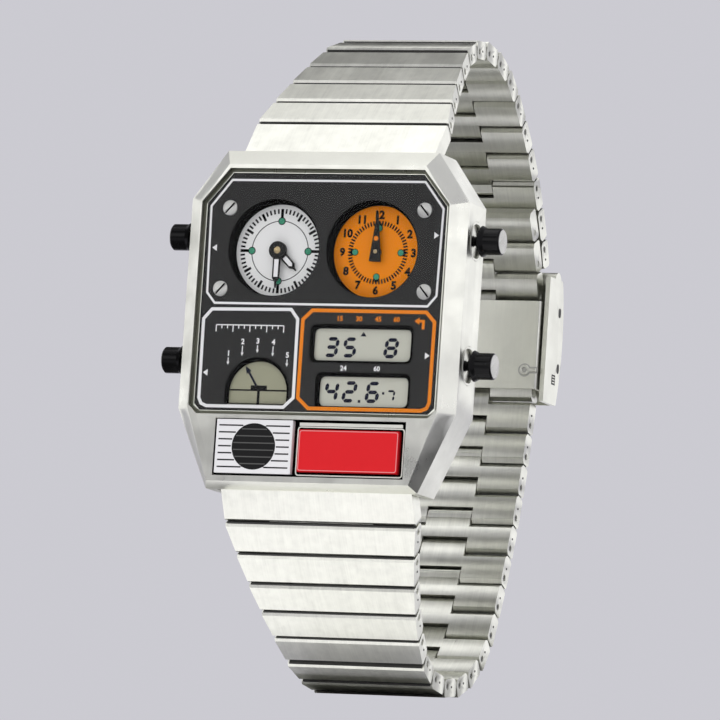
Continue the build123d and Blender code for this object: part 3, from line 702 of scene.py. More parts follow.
@dataclass
class Inlay:
    """Thin flat shapes that face the reader, gathered into one mesh. Sizes are in millimetres.

    The front says how far the shapes' front is in front of the case back, and the thickness how
    thick they are. Both hold where a shape isn't given its own.
    """

    front: float = 0.0
    thickness: float = 0.03
    vertices: list[Place] = field(default_factory=list)
    faces: list[tuple[int, ...]] = field(default_factory=list)

    def _depths(self, front: float | None, thickness: float | None) -> Point:
        """Give where a shape's front and back lie."""
        near = self.front if front is None else front
        return near, near - (self.thickness if thickness is None else thickness)

    def slab(
        self, outline: Sequence[Point], front: float | None = None, thickness: float | None = None
    ) -> None:
        """Add a filled shape.

        Args:
            outline: Its corners.
            front: Where its front is, if not at the inlay's own.
            thickness: How thick it is, if not as the inlay.
        """
        start, count = len(self.vertices), len(outline)
        for depth in self._depths(front, thickness):
            self.vertices += [(x, -depth, z) for x, z in outline]
        self.faces.append(tuple(range(start, start + count)))
        self.faces.append(tuple(range(start + 2 * count - 1, start + count - 1, -1)))
        for i in range(count):
            j = (i + 1) % count
            self.faces.append((start + i, start + count + i, start + count + j, start + j))

    def band(
        self,
        outer: Sequence[Point],
        inner: Sequence[Point],
        front: float | None = None,
        thickness: float | None = None,
    ) -> None:
        """Add a closed line between two outlines with as many points.

        Args:
            outer: The outer edge.
            inner: The inner edge.
            front: Where its front is, if not at the inlay's own.
            thickness: How thick it is, if not as the inlay.
        """
        start, count = len(self.vertices), len(outer)
        for depth in self._depths(front, thickness):
            for outline in (outer, inner):
                self.vertices += [(x, -depth, z) for x, z in outline]
        for i in range(count):
            j = (i + 1) % count
            a, b, c, d = (start + k * count for k in range(4))
            self.faces += [
                (a + i, a + j, b + j, b + i),
                (c + i, d + i, d + j, c + j),
                (a + i, c + i, c + j, a + j),
                (b + i, b + j, d + j, d + i),
            ]

    def line(self, points: Sequence[Point], width: float) -> None:
        """Add a closed line of even width along the middle of an outline."""
        self.band(inset(points, -width / 2), inset(points, width / 2))

    def lettered(self, text: str, height: float, centre: Point, weight: float = 0.03) -> None:
        """Add plain figures.

        Args:
            text: The figures.
            height: Their height.
            centre: The middle of the row.
            weight: How much bolder their strokes are than the typeface's own.
        """
        curve = bpy.data.curves.new("figures", "FONT")
        curve.body = text
        curve.extrude = 0.05
        curve.offset = weight
        curve.resolution_u = 3
        carrier = bpy.data.objects.new("figures", curve)
        bpy.context.scene.collection.objects.link(carrier)
        mesh = bpy.data.meshes.new_from_object(
            carrier.evaluated_get(bpy.context.evaluated_depsgraph_get())
        )
        xs = [v.co.x for v in mesh.vertices]
        ys = [v.co.y for v in mesh.vertices]
        middle = ((min(xs) + max(xs)) / 2, (min(ys) + max(ys)) / 2)
        size = height / (max(ys) - min(ys))
        start = len(self.vertices)
        near, far = self._depths(None, None)
        for vertex in mesh.vertices:
            x, z = (centre[i] + (vertex.co[i] - middle[i]) * size for i in range(2))
            self.vertices.append((x, -(near if vertex.co.z > 0 else far), z))
        self.faces += [tuple(start + i for i in face.vertices) for face in mesh.polygons]
        bpy.data.objects.remove(carrier)
        bpy.data.curves.remove(curve)
        bpy.data.meshes.remove(mesh)

    def aside(self, side: int) -> None:
        """Turn shapes drawn in depth and height to face along the watch's width.

        Args:
            side: 1 for the side at 3 o'clock and -1 for the other.
        """
        self.vertices = [(-side * depth, across, up) for across, depth, up in self.vertices]

    def mirrored(self) -> None:
        """Add the same shapes on the watch's other side."""
        start = len(self.vertices)
        self.vertices += [(-x, y, z) for x, y, z in self.vertices]
        self.faces += [tuple(start + i for i in reversed(face)) for face in self.faces]

    def make(
        self,
        name: str,
        finish: bpy.types.Material,
        slot: Slot,
        body: str = "case",
        bevel: float = 0.0,
    ) -> bpy.types.Object:
        """Turn the shapes into a piece of the watch that rides on a body.

        Args:
            name: The piece's name.
            finish: Its material.
            slot: The record's slot for that material; not used.
            body: The CAD body it rides on.
            bevel: How far its edges are broken.

        Returns:
            The piece.
        """
        mesh = bpy.data.meshes.new(name)
        mesh.from_pydata([[part * MM for part in place] for place in self.vertices], [], self.faces)
        work = bmesh.new()
        work.from_mesh(mesh)
        bmesh.ops.remove_doubles(work, verts=work.verts, dist=SAME_POINT * MM)
        bmesh.ops.recalc_face_normals(work, faces=work.faces)
        work.to_mesh(mesh)
        work.free()
        piece = bpy.data.objects.new(name, mesh)
        bpy.context.scene.collection.objects.link(piece)
        mesh.materials.append(finish)
        soften(piece, bevel)
        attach(piece, body)
        LOG.info("piece %s on %s", name, body)
        return piece


def soften(piece: bpy.types.Object, width: float) -> None:
    """Break a piece's sharp edges so that they catch the light.

    Args:
        piece: The piece.
        width: The width of the broken edge, in millimetres. At 0 the edges stay.
    """
    if width <= 0:
        return
    bevel = piece.modifiers.new("broken_edges", "BEVEL")
    bevel.width = width * MM
    bevel.segments = 2
    bevel.limit_method = "ANGLE"
    bevel.angle_limit = math.radians(28)
    bevel.use_clamp_overlap = True
    bevel.miter_outer = "MITER_ARC"
    shade = piece.modifiers.new("flat_faces", "WEIGHTED_NORMAL")
    shade.keep_sharp = False
    shade.weight = 60


def dress(node: str, finish: bpy.types.Material, edge: float = 0.0) -> None:
    """Give a CAD node its finish.

    Args:
        node: The node's name.
        finish: Its material.
        edge: How far its edges are broken, in millimetres.
    """
    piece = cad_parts[node]
    piece.data.materials.clear()
    piece.data.materials.append(finish)
    if edge > 0:
        weld = piece.modifiers.new("joined_faces", "WELD")
        weld.merge_threshold = 0.002 * MM
        for face in piece.data.polygons:
            face.use_smooth = True
        soften(piece, edge)
    LOG.info("dressed %s", node)


# The studio


def flat_sheet(
    name: str,
    size: Point,
    finish: bpy.types.Material,
    level: float = 0.0,
    place: Place = (0.0, 0.0, 0.0),
) -> bpy.types.Object:
    """Make a flat rectangle of the studio. Its sizes are in metres.

    Args:
        name: Its name.
        size: Its width and depth.
        finish: Its material.
        level: How high it lies in its own frame.
        place: Where it stands. A card that stands off the floor turns its back on the watch.

    Returns:
        The sheet.
    """
    mesh = bpy.data.meshes.new(name)
    corners = rectangle((0.0, 0.0), *size)
    mesh.from_pydata([(x, y, level) for x, y in corners], [], [(0, 1, 2, 3)])
    mesh.materials.append(finish)
    sheet = bpy.data.objects.new(name, mesh)
    bpy.context.scene.collection.objects.link(sheet)
    sheet.location = place
    if "floor" not in name:
        sheet.rotation_euler = Vector(place).to_track_quat("Z", "Y").to_euler()
    return sheet


@dataclass
class Studio:
    """The floor, the lamps and the camera.

    The aim, the distance and the floor's level are in millimetres, and the angles in radians. Lamps
    and cards are in metres.
    """

    aim: Place = (5.80, -7.8, -4.906)
    azimuth: float = 0.3773
    elevation: float = -0.118
    roll: float = 0.0668
    distance: float = 971.1
    lens: float = 395.7
    floor_level: float = -43.72
    floor_width: float = 4.0
    background: Colour = (0.60, 0.595, 0.64)
    watch: Place = (0.0, 0.01, 0.0)
    lamp_colour: Colour = (1.0, 0.995, 0.98)

    def build(self) -> None:
        """Set up everything."""
        self._camera()
        paper = FloorPaper("floor_paper").build()
        flat_sheet("floor", (self.floor_width, self.floor_width), paper, self.floor_level * MM)
        self._world()
        self._lamps()
        self._flags()
        bpy.context.scene.view_settings.view_transform = "Standard"

    def _camera(self) -> None:
        """Place the camera at the photograph's angle."""
        ca, sa = math.cos(self.azimuth), math.sin(self.azimuth)
        ce, se = math.cos(self.elevation), math.sin(self.elevation)
        right = Vector((ca, sa, 0.0))
        up = Vector((-sa * se, ca * se, ce))
        ahead = Vector((-sa * ce, ca * ce, -se))
        cr, sr = math.cos(self.roll), math.sin(self.roll)
        place = (Vector(self.aim) - ahead * self.distance) * MM
        columns = (right * cr + up * sr, up * cr - right * sr, -ahead, place)
        lens = bpy.data.cameras.new("view")
        lens.lens = self.lens
        lens.sensor_width = 36.0
        lens.sensor_fit = "HORIZONTAL"
        lens.clip_start = 0.01
        camera = bpy.data.objects.new("view", lens)
        bpy.context.scene.collection.objects.link(camera)
        rows = [[column[i] for column in columns] for i in range(3)]
        camera.matrix_world = Matrix((*rows, (0.0, 0.0, 0.0, 1.0)))
        bpy.context.scene.camera = camera

    def _world(self) -> None:
        """Fill the surroundings with the pale background."""
        world = bpy.data.worlds.new("studio")
        world.use_nodes = True
        sky = world.node_tree.nodes["Background"]
        sky.inputs["Color"].default_value = shaded(self.background)
        sky.inputs["Strength"].default_value = 1.0
        bpy.context.scene.world = world

    def _lamps(self) -> None:
        """Hang the soft boxes. Those that stand on the floor point straight up."""
        for name, place, size, level in (
            ("overhead_box", (-0.08, -0.06, 0.55), (0.42, 0.34), 1.0),
            ("front_box", (-0.30, -0.76, 0.14), (0.7, 0.42), 0.85),
            ("high_box", (0.02, -0.6, 0.62), (0.4, 0.2), 1.3),
            ("right_box", (0.72, -0.4, 0.14), (0.36, 0.36), 0.86),
            ("left_box", (-0.66, 0.3, 0.12), (0.3, 0.4), 1.0),
            ("back_box", (0.34, 0.72, 0.12), (0.36, 0.36), 0.64),
            ("rear_box", (-0.3, 0.78, 0.1), (0.3, 0.2), 1.3),
            ("high_back_box", (0.04, 0.74, 0.32), (0.24, 0.22), 0.6),
            ("rear_low_box", (0.033, 0.112, -0.0434), (0.13, 0.12), 0.45),
            ("low_box", (0.0, -0.041, -0.0434), (0.07, 0.1), 0.66),
        ):
            lamp = bpy.data.lights.new(name, "AREA")
            lamp.shape = "RECTANGLE"
            lamp.size, lamp.size_y = size
            lamp.energy = level * math.pi * size[0] * size[1]
            lamp.color = self.lamp_colour
            carrier = bpy.data.objects.new(name, lamp)
            bpy.context.scene.collection.objects.link(carrier)
            carrier.location = place
            target = (place[0], place[1], 1.0) if "low_box" in name else self.watch
            away = Vector(place) - Vector(target)
            carrier.rotation_euler = away.to_track_quat("Z", "Y").to_euler()
            carrier.visible_camera = False

    def _flags(self) -> None:
        """Stand dark cards out of view, so that the steel has something dark to mirror."""
        black = Coating("black_card", (0.03, 0.03, 0.03), 0.7, 0.8).build()
        grey = Coating("grey_card", (0.3, 0.3, 0.28), 0.7, 0.8).build()
        for name, place, size, finish in (
            ("left_card", (-0.36, -0.08, 0.08), (0.3, 0.5), black),
            ("back_card", (-0.19, 0.40, 0.29), (0.28, 0.26), black),
            ("top_card", (-0.22, 0.26, 0.5), (0.5, 0.3), grey),
            ("front_card", (-0.24, -0.40, 0.34), (0.5, 0.12), black),
            ("low_card", (-0.2, -0.26, -0.03), (0.4, 0.1), black),
            ("left_floor_card", (-0.082, 0.0, -0.0434), (0.085, 0.14), black),
            ("rear_floor_card", (0.0, 0.044, -0.04371), (0.07, 0.058), grey),
            ("right_floor_card", (0.061, -0.02, -0.0434), (0.048, 0.09), black),
        ):
            card = flat_sheet(name, size, finish, place=place)
            card.visible_camera = False
            card.visible_diffuse = False
            card.visible_shadow = False


# The case


@dataclass
class CaseShell:
    """The steel case, its back, and what shows round the dial."""

    finishes: Finishes
    recess_half: float = 12.56
    recess_top: float = -12.54
    recess_foot: float = -19.56
    recess_corner: float = 0.5
    recess_floor: float = 7.43
    recess_rim: float = 8.22
    liner: float = 0.04
    liner_floor: float = 0.02
    slot_spots: tuple[Point, ...] = ((12.9, 13.8), (13.5, 3.7))
    slot_size: Point = (0.2, 1.72)
    slot_slant: float = 40.0
    slot_lift: float = 0.012

    def build(self) -> None:
        """Dress the case and line its lower recess."""
        for node, finish, edge in (
            ("case_body", self.finishes.case, 0.1),
            ("case_back", self.finishes.case, 0.1),
            ("back_screws", self.finishes.screw, 0.04),
            ("dial_screws", self.finishes.screw, 0.04),
            ("back_gasket", self.finishes.rubber, 0.0),
            ("crystal", self.finishes.crystal, 0.0),
        ):
            dress(node, finish, edge)
        self._screw_slots()
        self._recess()

    def _screw_slots(self) -> None:
        """Paint shade into the slots of the four dial screws, which slant towards the middle."""
        slots = Inlay(-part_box("dial_screws")[0][1] / MM + self.slot_lift)
        for x, z in self.slot_spots:
            for side in (-1, 1):
                bar = rectangle((0.0, 0.0), *self.slot_size)
                slots.slab(turned(bar, -self.slot_slant * side, (side * x, z)))
        slots.make("dial_screw_slot_shade", self.finishes.recess, Slot.SCREW)

    def _recess(self) -> None:
        """Line the recess of the two plates with painted shade: a flat black with no shine."""
        half, top, foot = self.recess_half, self.recess_top, self.recess_foot
        corners = [(-half, foot), (half, foot), (half, top), (-half, top)]
        outer = eased(corners, self.recess_corner)
        tray = Inlay(self.recess_rim, self.recess_rim - self.recess_floor)
        tray.slab(outer, self.recess_floor, self.liner_floor)
        tray.band(outer, inset(outer, self.liner))
        tray.make("recess_painted_shade", self.finishes.recess, Slot.DIAL)


@dataclass
class ChinPlates:
    """The grille plate and the colour plate below the glass."""

    finishes: Finishes
    front: float = 8.25
    grille: Point = (-7.35, -15.95)
    grille_width: float = 10.1
    grille_margin: float = 0.35
    disc_radius: float = 2.88
    disc_rim: float = 0.28
    disc_play: float = 0.1
    disc_lift: float = 0.02
    disc_bars: int = 6
    bar_lift: float = 0.03
    bar_height: float = 0.14
    bar_margin: float = 0.15
    line_pitch: float = 0.86
    line_height: float = 0.17
    line_lift: float = 0.015
    line_clearance: float = 0.12
    side_lines: int = 7
    colour: Point = (5.15, -16.3)
    colour_size: Point = (13.3, 5.3)
    trim_front: float = 7.5
    trim_depth: float = 0.06
    trim_gap: float = 0.34
    trim_width: float = 0.16
    trim_corner: float = 0.4
    shelf_front: float = 7.6
    shelf_depth: float = 0.15
    shelf_height: float = 0.4
    shelf_gap: float = 0.67
    shelf_overhang: float = 0.3
    edge_lift: float = 0.012
    edge_inset: float = 0.2
    edge_width: float = 0.1
    edge_corner: float = 0.3

    def build(self) -> None:
        """Dress both plates and lay their lines."""
        dress("grille_plate", self.finishes.grille, 0.06)
        dress("colour_plate", self.finishes.red, 0.12)
        self._side_lines()
        self._disc()
        self._edging()

    def _side_lines(self) -> None:
        """Lay the thin dark lines to the left and right of the disc."""
        lines = Inlay(self.front + self.line_lift)
        x, z = self.grille
        end = self.grille_width / 2 - self.grille_margin
        clear = self.disc_radius + self.line_clearance
        for row in range(self.side_lines):
            level = z + (row - (self.side_lines - 1) / 2) * self.line_pitch
            start = math.sqrt(max(clear**2 - (level - z) ** 2, 0.0))
            for side in (-1, 1):
                middle = x + side * (start + end) / 2
                lines.slab(rectangle((middle, level), end - start, self.line_height))
        lines.make("grille_side_lines", self.finishes.black_print, Slot.DIAL)

    def _disc(self) -> None:
        """Set the black disc with its pale bars: the louvre blades, their light grey a painted highlight
        on their lit edges.
        """
        disc = Inlay(self.front + self.disc_lift, 0.05)
        edge = circle(self.grille, self.disc_radius)
        disc.band(edge, circle(self.grille, self.disc_radius - self.disc_rim))
        face = circle(self.grille, self.disc_radius - self.disc_play)
        disc.slab(face, self.front + self.disc_lift / 2, 0.03)
        disc.make("grille_disc", self.finishes.hand, Slot.DIAL)
        bars = Inlay(self.front + self.bar_lift, 0.025)
        x, z = self.grille
        for row in range(self.disc_bars):
            level = z + (row - (self.disc_bars - 1) / 2) * self.line_pitch
            reach = math.sqrt((self.disc_radius - self.bar_margin) ** 2 - (level - z) ** 2)
            bars.slab(rectangle((x, level), 2 * reach, self.bar_height))
        bars.make("grille_disc_bar_highlights", self.finishes.bars, Slot.GRILLE)

    def _edging(self) -> None:
        """Lay the silver line and shelf round the colour plate, and a painted highlight along its edge.
        """
        x, z = self.colour
        width, height = self.colour_size
        plate = rectangle(self.colour, width, height)
        silver = Inlay(self.trim_front, self.trim_depth)
        silver.line(eased(inset(plate, -self.trim_gap), self.trim_corner), self.trim_width)
        above = (x, z + height / 2 + self.shelf_gap)
        shelf = rectangle(above, width + self.shelf_overhang, self.shelf_height)
        silver.slab(shelf, self.shelf_front, self.shelf_depth)
        silver.make("colour_plate_trim", self.finishes.silver, Slot.CASE)
        # Painted highlight: a pale red line just inside the plate's edge.
        edge = Inlay(self.front + self.edge_lift)
        edge.line(eased(inset(plate, self.edge_inset), self.edge_corner), self.edge_width)
        edge.make("colour_plate_edge_highlight", self.finishes.red_edge, Slot.RED)


# The dial


def both_sides(half: Sequence[Point], *tip: Point) -> list[Point]:
    """Give an outline that is the same on both sides.

    Args:
        half: One of its halves.
        tip: The point between the halves, if it has one.

    Returns:
        The whole outline.
    """
    return [*half, *tip, *((-x, z) for x, z in reversed(half))]


def shifted(place: Point, across: float, up: float) -> Point:
    """Give a place moved across and up."""
    return place[0] + across, place[1] + up


@dataclass
class DialFace:
    """The black dial plate and what is printed on it. Print is placed from the case's middle.

    A mode outline is the radius of the round window's arch and how far its foot reaches down.
    """

    finishes: Finishes
    front: float = 7.525
    drop: float = 0.2
    well_radius: float = 5.845
    well_inner: float = 5.8
    well_front: float = 7.5
    well_depth: float = 1.58
    shade_front: float = 7.512
    shade_thickness: float = 0.01
    shade_inner: float = 5.84
    shade_outer: float = 6.06
    shade_shift: Point = (-0.2, 0.2)
    sill_front: float = 7.45
    sill_depth: float = 0.34
    play: float = 0.02
    opening_inset: float = 0.1
    opening_corner: float = 0.8
    window_shade: Point = (0.75, 0.7)
    window_shade_shift: Point = (-0.12, 0.1)
    window_shade_corner: float = 0.9
    mode_edge: Point = (4.02, 1.45)
    mode_opening: Point = (3.88, 1.45)
    mode_shade: Point = (4.28, 1.5)
    mode_shade_shift: Point = (-0.1, 0.12)
    windows: tuple[tuple[Point, Point], ...] = (
        (UPPER_WINDOW, (12.9, 4.1)),
        (LOWER_WINDOW, (11.8, 3.8)),
    )
    glass: tuple[Point, ...] = ((12.9, 18.7), (16.4, 14.5), (16.4, -10.9), (15.3, -12.0))
    ring_front: float = 7.58
    ring_thickness: float = 0.07
    ring_insets: Point = (0.03, 0.52)
    dark_line_front: float = 7.54
    dark_line_inset: float = 0.66

    def build(self) -> None:
        """Dress the dial plate and print its frames and arrows."""
        dress("dial_plate", self.finishes.dial)
        self._frames()
        self._mode_arrows()
        self._bent_arrow()
        self._small_marks()
        self._wells()
        self._glass_seat()

    def _down(self, points: Iterable[Point]) -> list[Point]:
        """Give points moved from the case's middle to the part's frame."""
        return [(x, z - self.drop) for x, z in points]

    def _frames(self) -> None:
        """Print the white line round the two dials and the frames round the windows."""
        pale, warm = self.finishes.white_print, self.finishes.orange_print
        top = both_sides([(12.8, 17.5), (15.4, 14.2), (15.2, 3.4), (14.1, 2.1)])
        left = [(-14.36, 1.33), (-15.42, 0.11), (-15.34, -9.75), (-15.0, -10.45), (-14.3, -10.74)]
        left += [(-4.03, -10.74), (-2.78, -9.54), (-2.88, 0.26), (-3.83, 1.43)]
        right = [(-0.98, 1.38), (-2.17, 0.23), (-2.17, -9.52), (-0.73, -10.8), (14.1, -10.8)]
        right += [(14.85, -10.5), (15.16, -9.8), (15.18, 0.16), (14.03, 1.36)]
        for name, outline, width, finish, slot in (
            ("dial_top_line", top, 0.28, pale, Slot.WHITE),
            ("dial_white_frame", left, 0.4, pale, Slot.WHITE),
            ("dial_orange_frame", right, 0.45, warm, Slot.ORANGE),
        ):
            mark = Inlay(self.front)
            mark.line(self._down(outline), width)
            mark.make(name, finish, slot)

    def _mode_arrows(self) -> None:
        """Print the five arrows that point down at the round window, with their figures."""
        arrows = Inlay(self.front)
        for x, tip, length, label in (
            (-11.77, -5.6, 0.9, "1"),
            (-9.97, -4.46, 1.25, "2"),
            (-7.97, -4.06, 0.95, "3"),
            (-5.89, -4.46, 1.25, "4"),
            (-3.92, -5.7, 0.9, "5"),
        ):
            arrows.slab(self._down(rectangle((x, tip + length / 2 + 0.15), 0.12, length - 0.3)))
            arrows.slab(self._down([(x - 0.2, tip + 0.42), (x, tip), (x + 0.2, tip + 0.42)]))
            arrows.lettered(label, 0.7, *self._down([(x, tip + length + 0.55)]))
        arrows.make("dial_mode_arrows", self.finishes.white_print, Slot.WHITE)

    def _bent_arrow(self) -> None:
        """Print the small bent arrow at the upper right of the orange frame."""
        arrow = Inlay(self.front)
        stem = [(13.1, 0.42), (13.1, 0.1), (13.55, 0.1), (13.55, -0.75), (13.9, -0.75), (13.9, 0.42)]
        arrow.slab(self._down(stem))
        arrow.slab(self._down([(13.2, 0.7), (12.55, 0.26), (13.2, -0.18)]))
        arrow.make("dial_bent_arrow", self.finishes.orange_print, Slot.ORANGE)

    def _small_marks(self) -> None:
        """Print the plain figures and rules beside the windows and the dials."""
        pale, warm = Inlay(self.front), Inlay(self.front)
        figure, flag, flag_half, rule = 0.64, 0.62, 0.42, (-9.15, -0.62)
        for mark, text, x, z in (
            (warm, "15", 2.75, 0.42),
            (warm, "30", 5.25, 0.42),
            (warm, "45", 7.75, 0.42),
            (warm, "60", 10.2, 0.42),
            (pale, "24", 3.6, -5.72),
            (pale, "60", 8.0, -5.72),
        ):
            mark.lettered(text, figure, *self._down([(x, z)]))
        for x, z in ((-14.3, 9.0), (14.4, 10.9), (-14.4, -6.6), (14.2, -4.0)):
            point = (x + math.copysign(flag, x), z)
            pale.slab(self._down([(x, z + flag_half), point, (x, z - flag_half)]))
        pale.slab(self._down(rectangle(rule, 9.0, 0.14)))
        for step in range(13):
            tall = 0.85 if step % 3 == 0 else 0.45
            spot = (-13.65 + 0.75 * step, rule[1] - tall / 2)
            pale.slab(self._down(rectangle(spot, 0.13, tall)))
        pale.make("dial_small_marks", self.finishes.white_print, Slot.WHITE)
        warm.make("dial_warm_figures", self.finishes.orange_print, Slot.ORANGE)

    def _wells(self) -> None:
        """Paint shade on the walls of the small dials' wells, and paint shadow crescents round the wells
        and the windows and shade on the windows' rims.
        """
        well_shade = Inlay(self.well_front, self.well_depth)
        shade = Inlay(self.shade_front, self.shade_thickness)
        for centre in (TIME_CENTRE, ZONE_CENTRE):
            well_shade.band(circle(centre, self.well_radius, 96), circle(centre, self.well_inner, 96))
            # Painted shadow: a black crescent round each well, widest at the upper left, as cast by the
            # well's edge.
            outer = circle(shifted(centre, *self.shade_shift), self.shade_outer, 96)
            shade.band(outer, circle(centre, self.shade_inner, 96))
        well_shade.make("small_dial_well_shade", self.finishes.recess, Slot.DIAL)
        for centre, (width, height) in self.windows:
            sill = eased(rectangle(centre, width - self.play, height - self.play), self.play)
            inner = rectangle(centre, width - self.opening_inset, height - self.opening_inset)
            # Painted shade on the window's rim, then a painted shadow crescent round the window.
            shade.band(sill, eased(inner, self.opening_corner), self.sill_front, self.sill_depth)
            wider, taller = self.window_shade
            middle = shifted(centre, *self.window_shade_shift)
            outer = eased(rectangle(middle, width + wider, height + taller), self.window_shade_corner)
            shade.band(outer, sill)
        # The same painted shadow crescent and painted shade on the rim for the round window.
        edge = arch(MODE_WINDOW, *self.mode_edge)
        shade.band(arch(shifted(MODE_WINDOW, *self.mode_shade_shift), *self.mode_shade), edge)
        opening = arch(MODE_WINDOW, *self.mode_opening)
        shade.band(edge, opening, self.sill_front, self.sill_depth)
        shade.make("painted_window_shadows", self.finishes.recess, Slot.DIAL)

    def _glass_seat(self) -> None:
        """Lay the bright ring and the dark line under the edge of the glass."""
        glass = both_sides(self.glass)
        ring = Inlay(self.ring_front, self.ring_thickness)
        outer, inner = (inset(glass, distance) for distance in self.ring_insets)
        ring.band(outer, inner)
        ring.make("glass_seat_ring", self.finishes.silver, Slot.CASE)
        line = Inlay(self.dark_line_front)
        line.band(inner, inset(glass, self.dark_line_inset))
        line.make("glass_seat_line", self.finishes.black_print, Slot.DIAL)


@dataclass
class Hand:
    """One hand, drawn pointing up and then turned to its place."""

    name: str
    centre: Point
    angle: float
    front: float
    outline: Sequence[Point]
    hub: float
    inlay: Sequence[Point] = ()
    thickness: float = 0.15
    lift: float = 0.03

    def build(self, finishes: Finishes) -> None:
        """Make the hand and the white stripe laid in it, in place of the plain CAD hand.

        Args:
            finishes: The watch's finishes.
        """
        body = self.name + "_hand"
        blade = Inlay(self.front, self.thickness)
        blade.slab(turned(self.outline, self.angle, self.centre))
        blade.slab(circle(self.centre, self.hub), self.front + 0.005, self.thickness + 0.01)
        piece = blade.make(self.name + "_pointer", finishes.hand, Slot.HAND, body, 0.02)
        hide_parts(body)
        if self.inlay:
            stripe = Inlay(self.front + self.lift, self.lift * 1.5)
            stripe.slab(turned(self.inlay, self.angle, self.centre))
            name = self.name + "_pointer_inlay"
            stripe.make(name, finishes.white_print, Slot.WHITE, body, 0.01)


@dataclass
class SmallDial:
    """What both small dials share."""

    finishes: Finishes
    centre: Point
    disc_front: float = 5.92
    dot_lift: float = 0.03
    dot_thickness: float = 0.05
    hour_front: float = 6.45
    minute_front: float = 6.85

    def _ticks(self, marks: Inlay, count: int, outer: float, inner: float, width: float) -> None:
        """Add marks all round.

        Args:
            marks: The print to add to.
            count: How many there are.
            outer: The radius where they end.
            inner: The radius where they start.
            width: Their width.
        """
        shape = rectangle((0.0, (outer + inner) / 2), width, outer - inner)
        for step in range(count):
            marks.slab(turned(shape, 360.0 * step / count, self.centre))

    def _spot(self, angle: float, radius: float) -> Point:
        """Give the place at an angle and radius on the dial."""
        return turned([(0.0, radius)], angle, self.centre)[0]

    def _dots(self, rims: Inlay, names: tuple[str, str], ring: float, rim: float, dot: float) -> None:
        """Set the four green dots in their black rims.

        Args:
            rims: The rims' print, which may hold more.
            names: The names of the rims and of the dots.
            ring: The radius that the dots sit on.
            rim: A rim's radius.
            dot: A dot's radius.
        """
        dots = Inlay(self.disc_front + self.dot_lift, self.dot_thickness)
        for angle in (0, 90, 180, 270):
            spot = self._spot(angle, ring)
            rims.slab(circle(spot, rim, 24))
            dots.slab(circle(spot, dot, 24))
        rims.make(names[0], self.finishes.black_print, Slot.DIAL)
        dots.make(names[1], self.finishes.lume, Slot.WHITE, bevel=0.02)

    def _pin(self, prefix: str, radius: float, lift: float) -> None:
        """Set the bright pin in the middle of the hands.

        Args:
            prefix: The dial's name.
            radius: Its radius.
            lift: How far its front is in front of the minute hand.
        """
        pin = Inlay(self.minute_front + lift, 0.12)
        pin.slab(circle(self.centre, radius, 24))
        body = prefix + "_minute_hand"
        pin.make(prefix + "_pin", self.finishes.brass, Slot.BRASS, body, 0.06)


@dataclass
class TimeDial(SmallDial):
    """The white dial on the left, with its hour and minute hands."""

    hour_angle: float = 135.0
    minute_angle: float = 180.0
    ring_radius: float = 3.75
    edge_radius: float = 5.27
    ticks: tuple[tuple[int, float, float], ...] = ((60, 4.68, 0.22), (12, 4.3, 0.32), (4, 4.12, 0.36))
    hour_blade: tuple[Point, ...] = ((-0.5, 0.4), (-0.46, 2.7), (-0.12, 3.1), (-0.1, 3.5))
    hour_stripe: tuple[Point, ...] = tuple(both_sides([(-0.28, 1.2), (-0.27, 2.45)], (0.0, 2.75)))
    minute_blade: tuple[Point, ...] = ((-0.5, 0.4), (-0.48, 3.5), (-0.14, 3.95), (-0.11, 4.7))
    minute_stripe: tuple[Point, ...] = tuple(both_sides([(-0.29, 1.15), (-0.27, 3.35)]))

    def build(self) -> None:
        """Dress the disc, print it and make its hands."""
        dress("time_dial", self.finishes.white_disc)
        marks = Inlay(self.disc_front)
        for count, inner, width in self.ticks:
            self._ticks(marks, count, self.edge_radius, inner, width)
        marks.line(circle(self.centre, self.ring_radius, 96), 0.1)
        marks.make("time_dial_marks", self.finishes.black_print, Slot.DIAL)
        rims = Inlay(self.disc_front + 0.005)
        self._dots(rims, ("time_dial_dot_rims", "time_dial_dots"), self.ring_radius, 0.49, 0.38)
        hour = both_sides(self.hour_blade)
        minute = both_sides(self.minute_blade)
        for name, angle, front, blade, hub, stripe in (
            ("time_hour", self.hour_angle, self.hour_front, hour, 1.1, self.hour_stripe),
            ("time_minute", self.minute_angle, self.minute_front, minute, 1.12, self.minute_stripe),
        ):
            Hand(name, self.centre, angle, front, blade, hub, stripe).build(self.finishes)
        self._pin("time", 0.45, 0.1)


@dataclass
class ZoneDial(SmallDial):
    """The orange dial on the right, with its hour and minute hands."""

    numeral_radius: float = 4.7
    numeral_height: float = 1.1
    edge_radius: float = 3.95
    foot: float = -1.22
    tip_half: float = 0.07
    hub: float = 0.62

    def build(self) -> None:
        """Dress the disc, print it and make its hands."""
        dress("zone_dial", self.finishes.orange_disc)
        marks = Inlay(self.disc_front)
        self._ticks(marks, 60, self.edge_radius, 3.38, 0.21)
        for number in range(1, 13):
            spot = self._spot(30.0 * number, self.numeral_radius)
            marks.lettered(str(number), self.numeral_height, spot, 0.05)
        marks.make("zone_dial_marks", self.finishes.black_print, Slot.DIAL)
        rims = Inlay(self.disc_front + 0.004)
        wedge = [(-0.42, 3.3), (0.42, 3.3), (0.0, self.edge_radius)]
        for angle in (0, 90, 180, 270):
            rims.slab(turned(wedge, angle, self.centre), self.disc_front + 0.002)
        self._dots(rims, ("zone_dial_wedges", "zone_dial_dots"), 3.02, 0.44, 0.36)
        for name, front, half, tip in (
            ("zone_hour", self.hour_front, 0.6, 3.4),
            ("zone_minute", self.minute_front, 0.79, 5.0),
        ):
            outline = both_sides([(-half, self.foot), (-self.tip_half, tip)])
            Hand(name, self.centre, 0.0, front, outline, self.hub).build(self.finishes)
        hole = Inlay(self.minute_front + 0.02, 0.04)
        hole.slab(circle(self._spot(0.0, 1.63), 0.3, 24))
        finish = self.finishes.orange_print
        hole.make("zone_pointer_eye", finish, Slot.ORANGE, "zone_minute_hand")
        self._pin("zone", 0.26, 0.08)


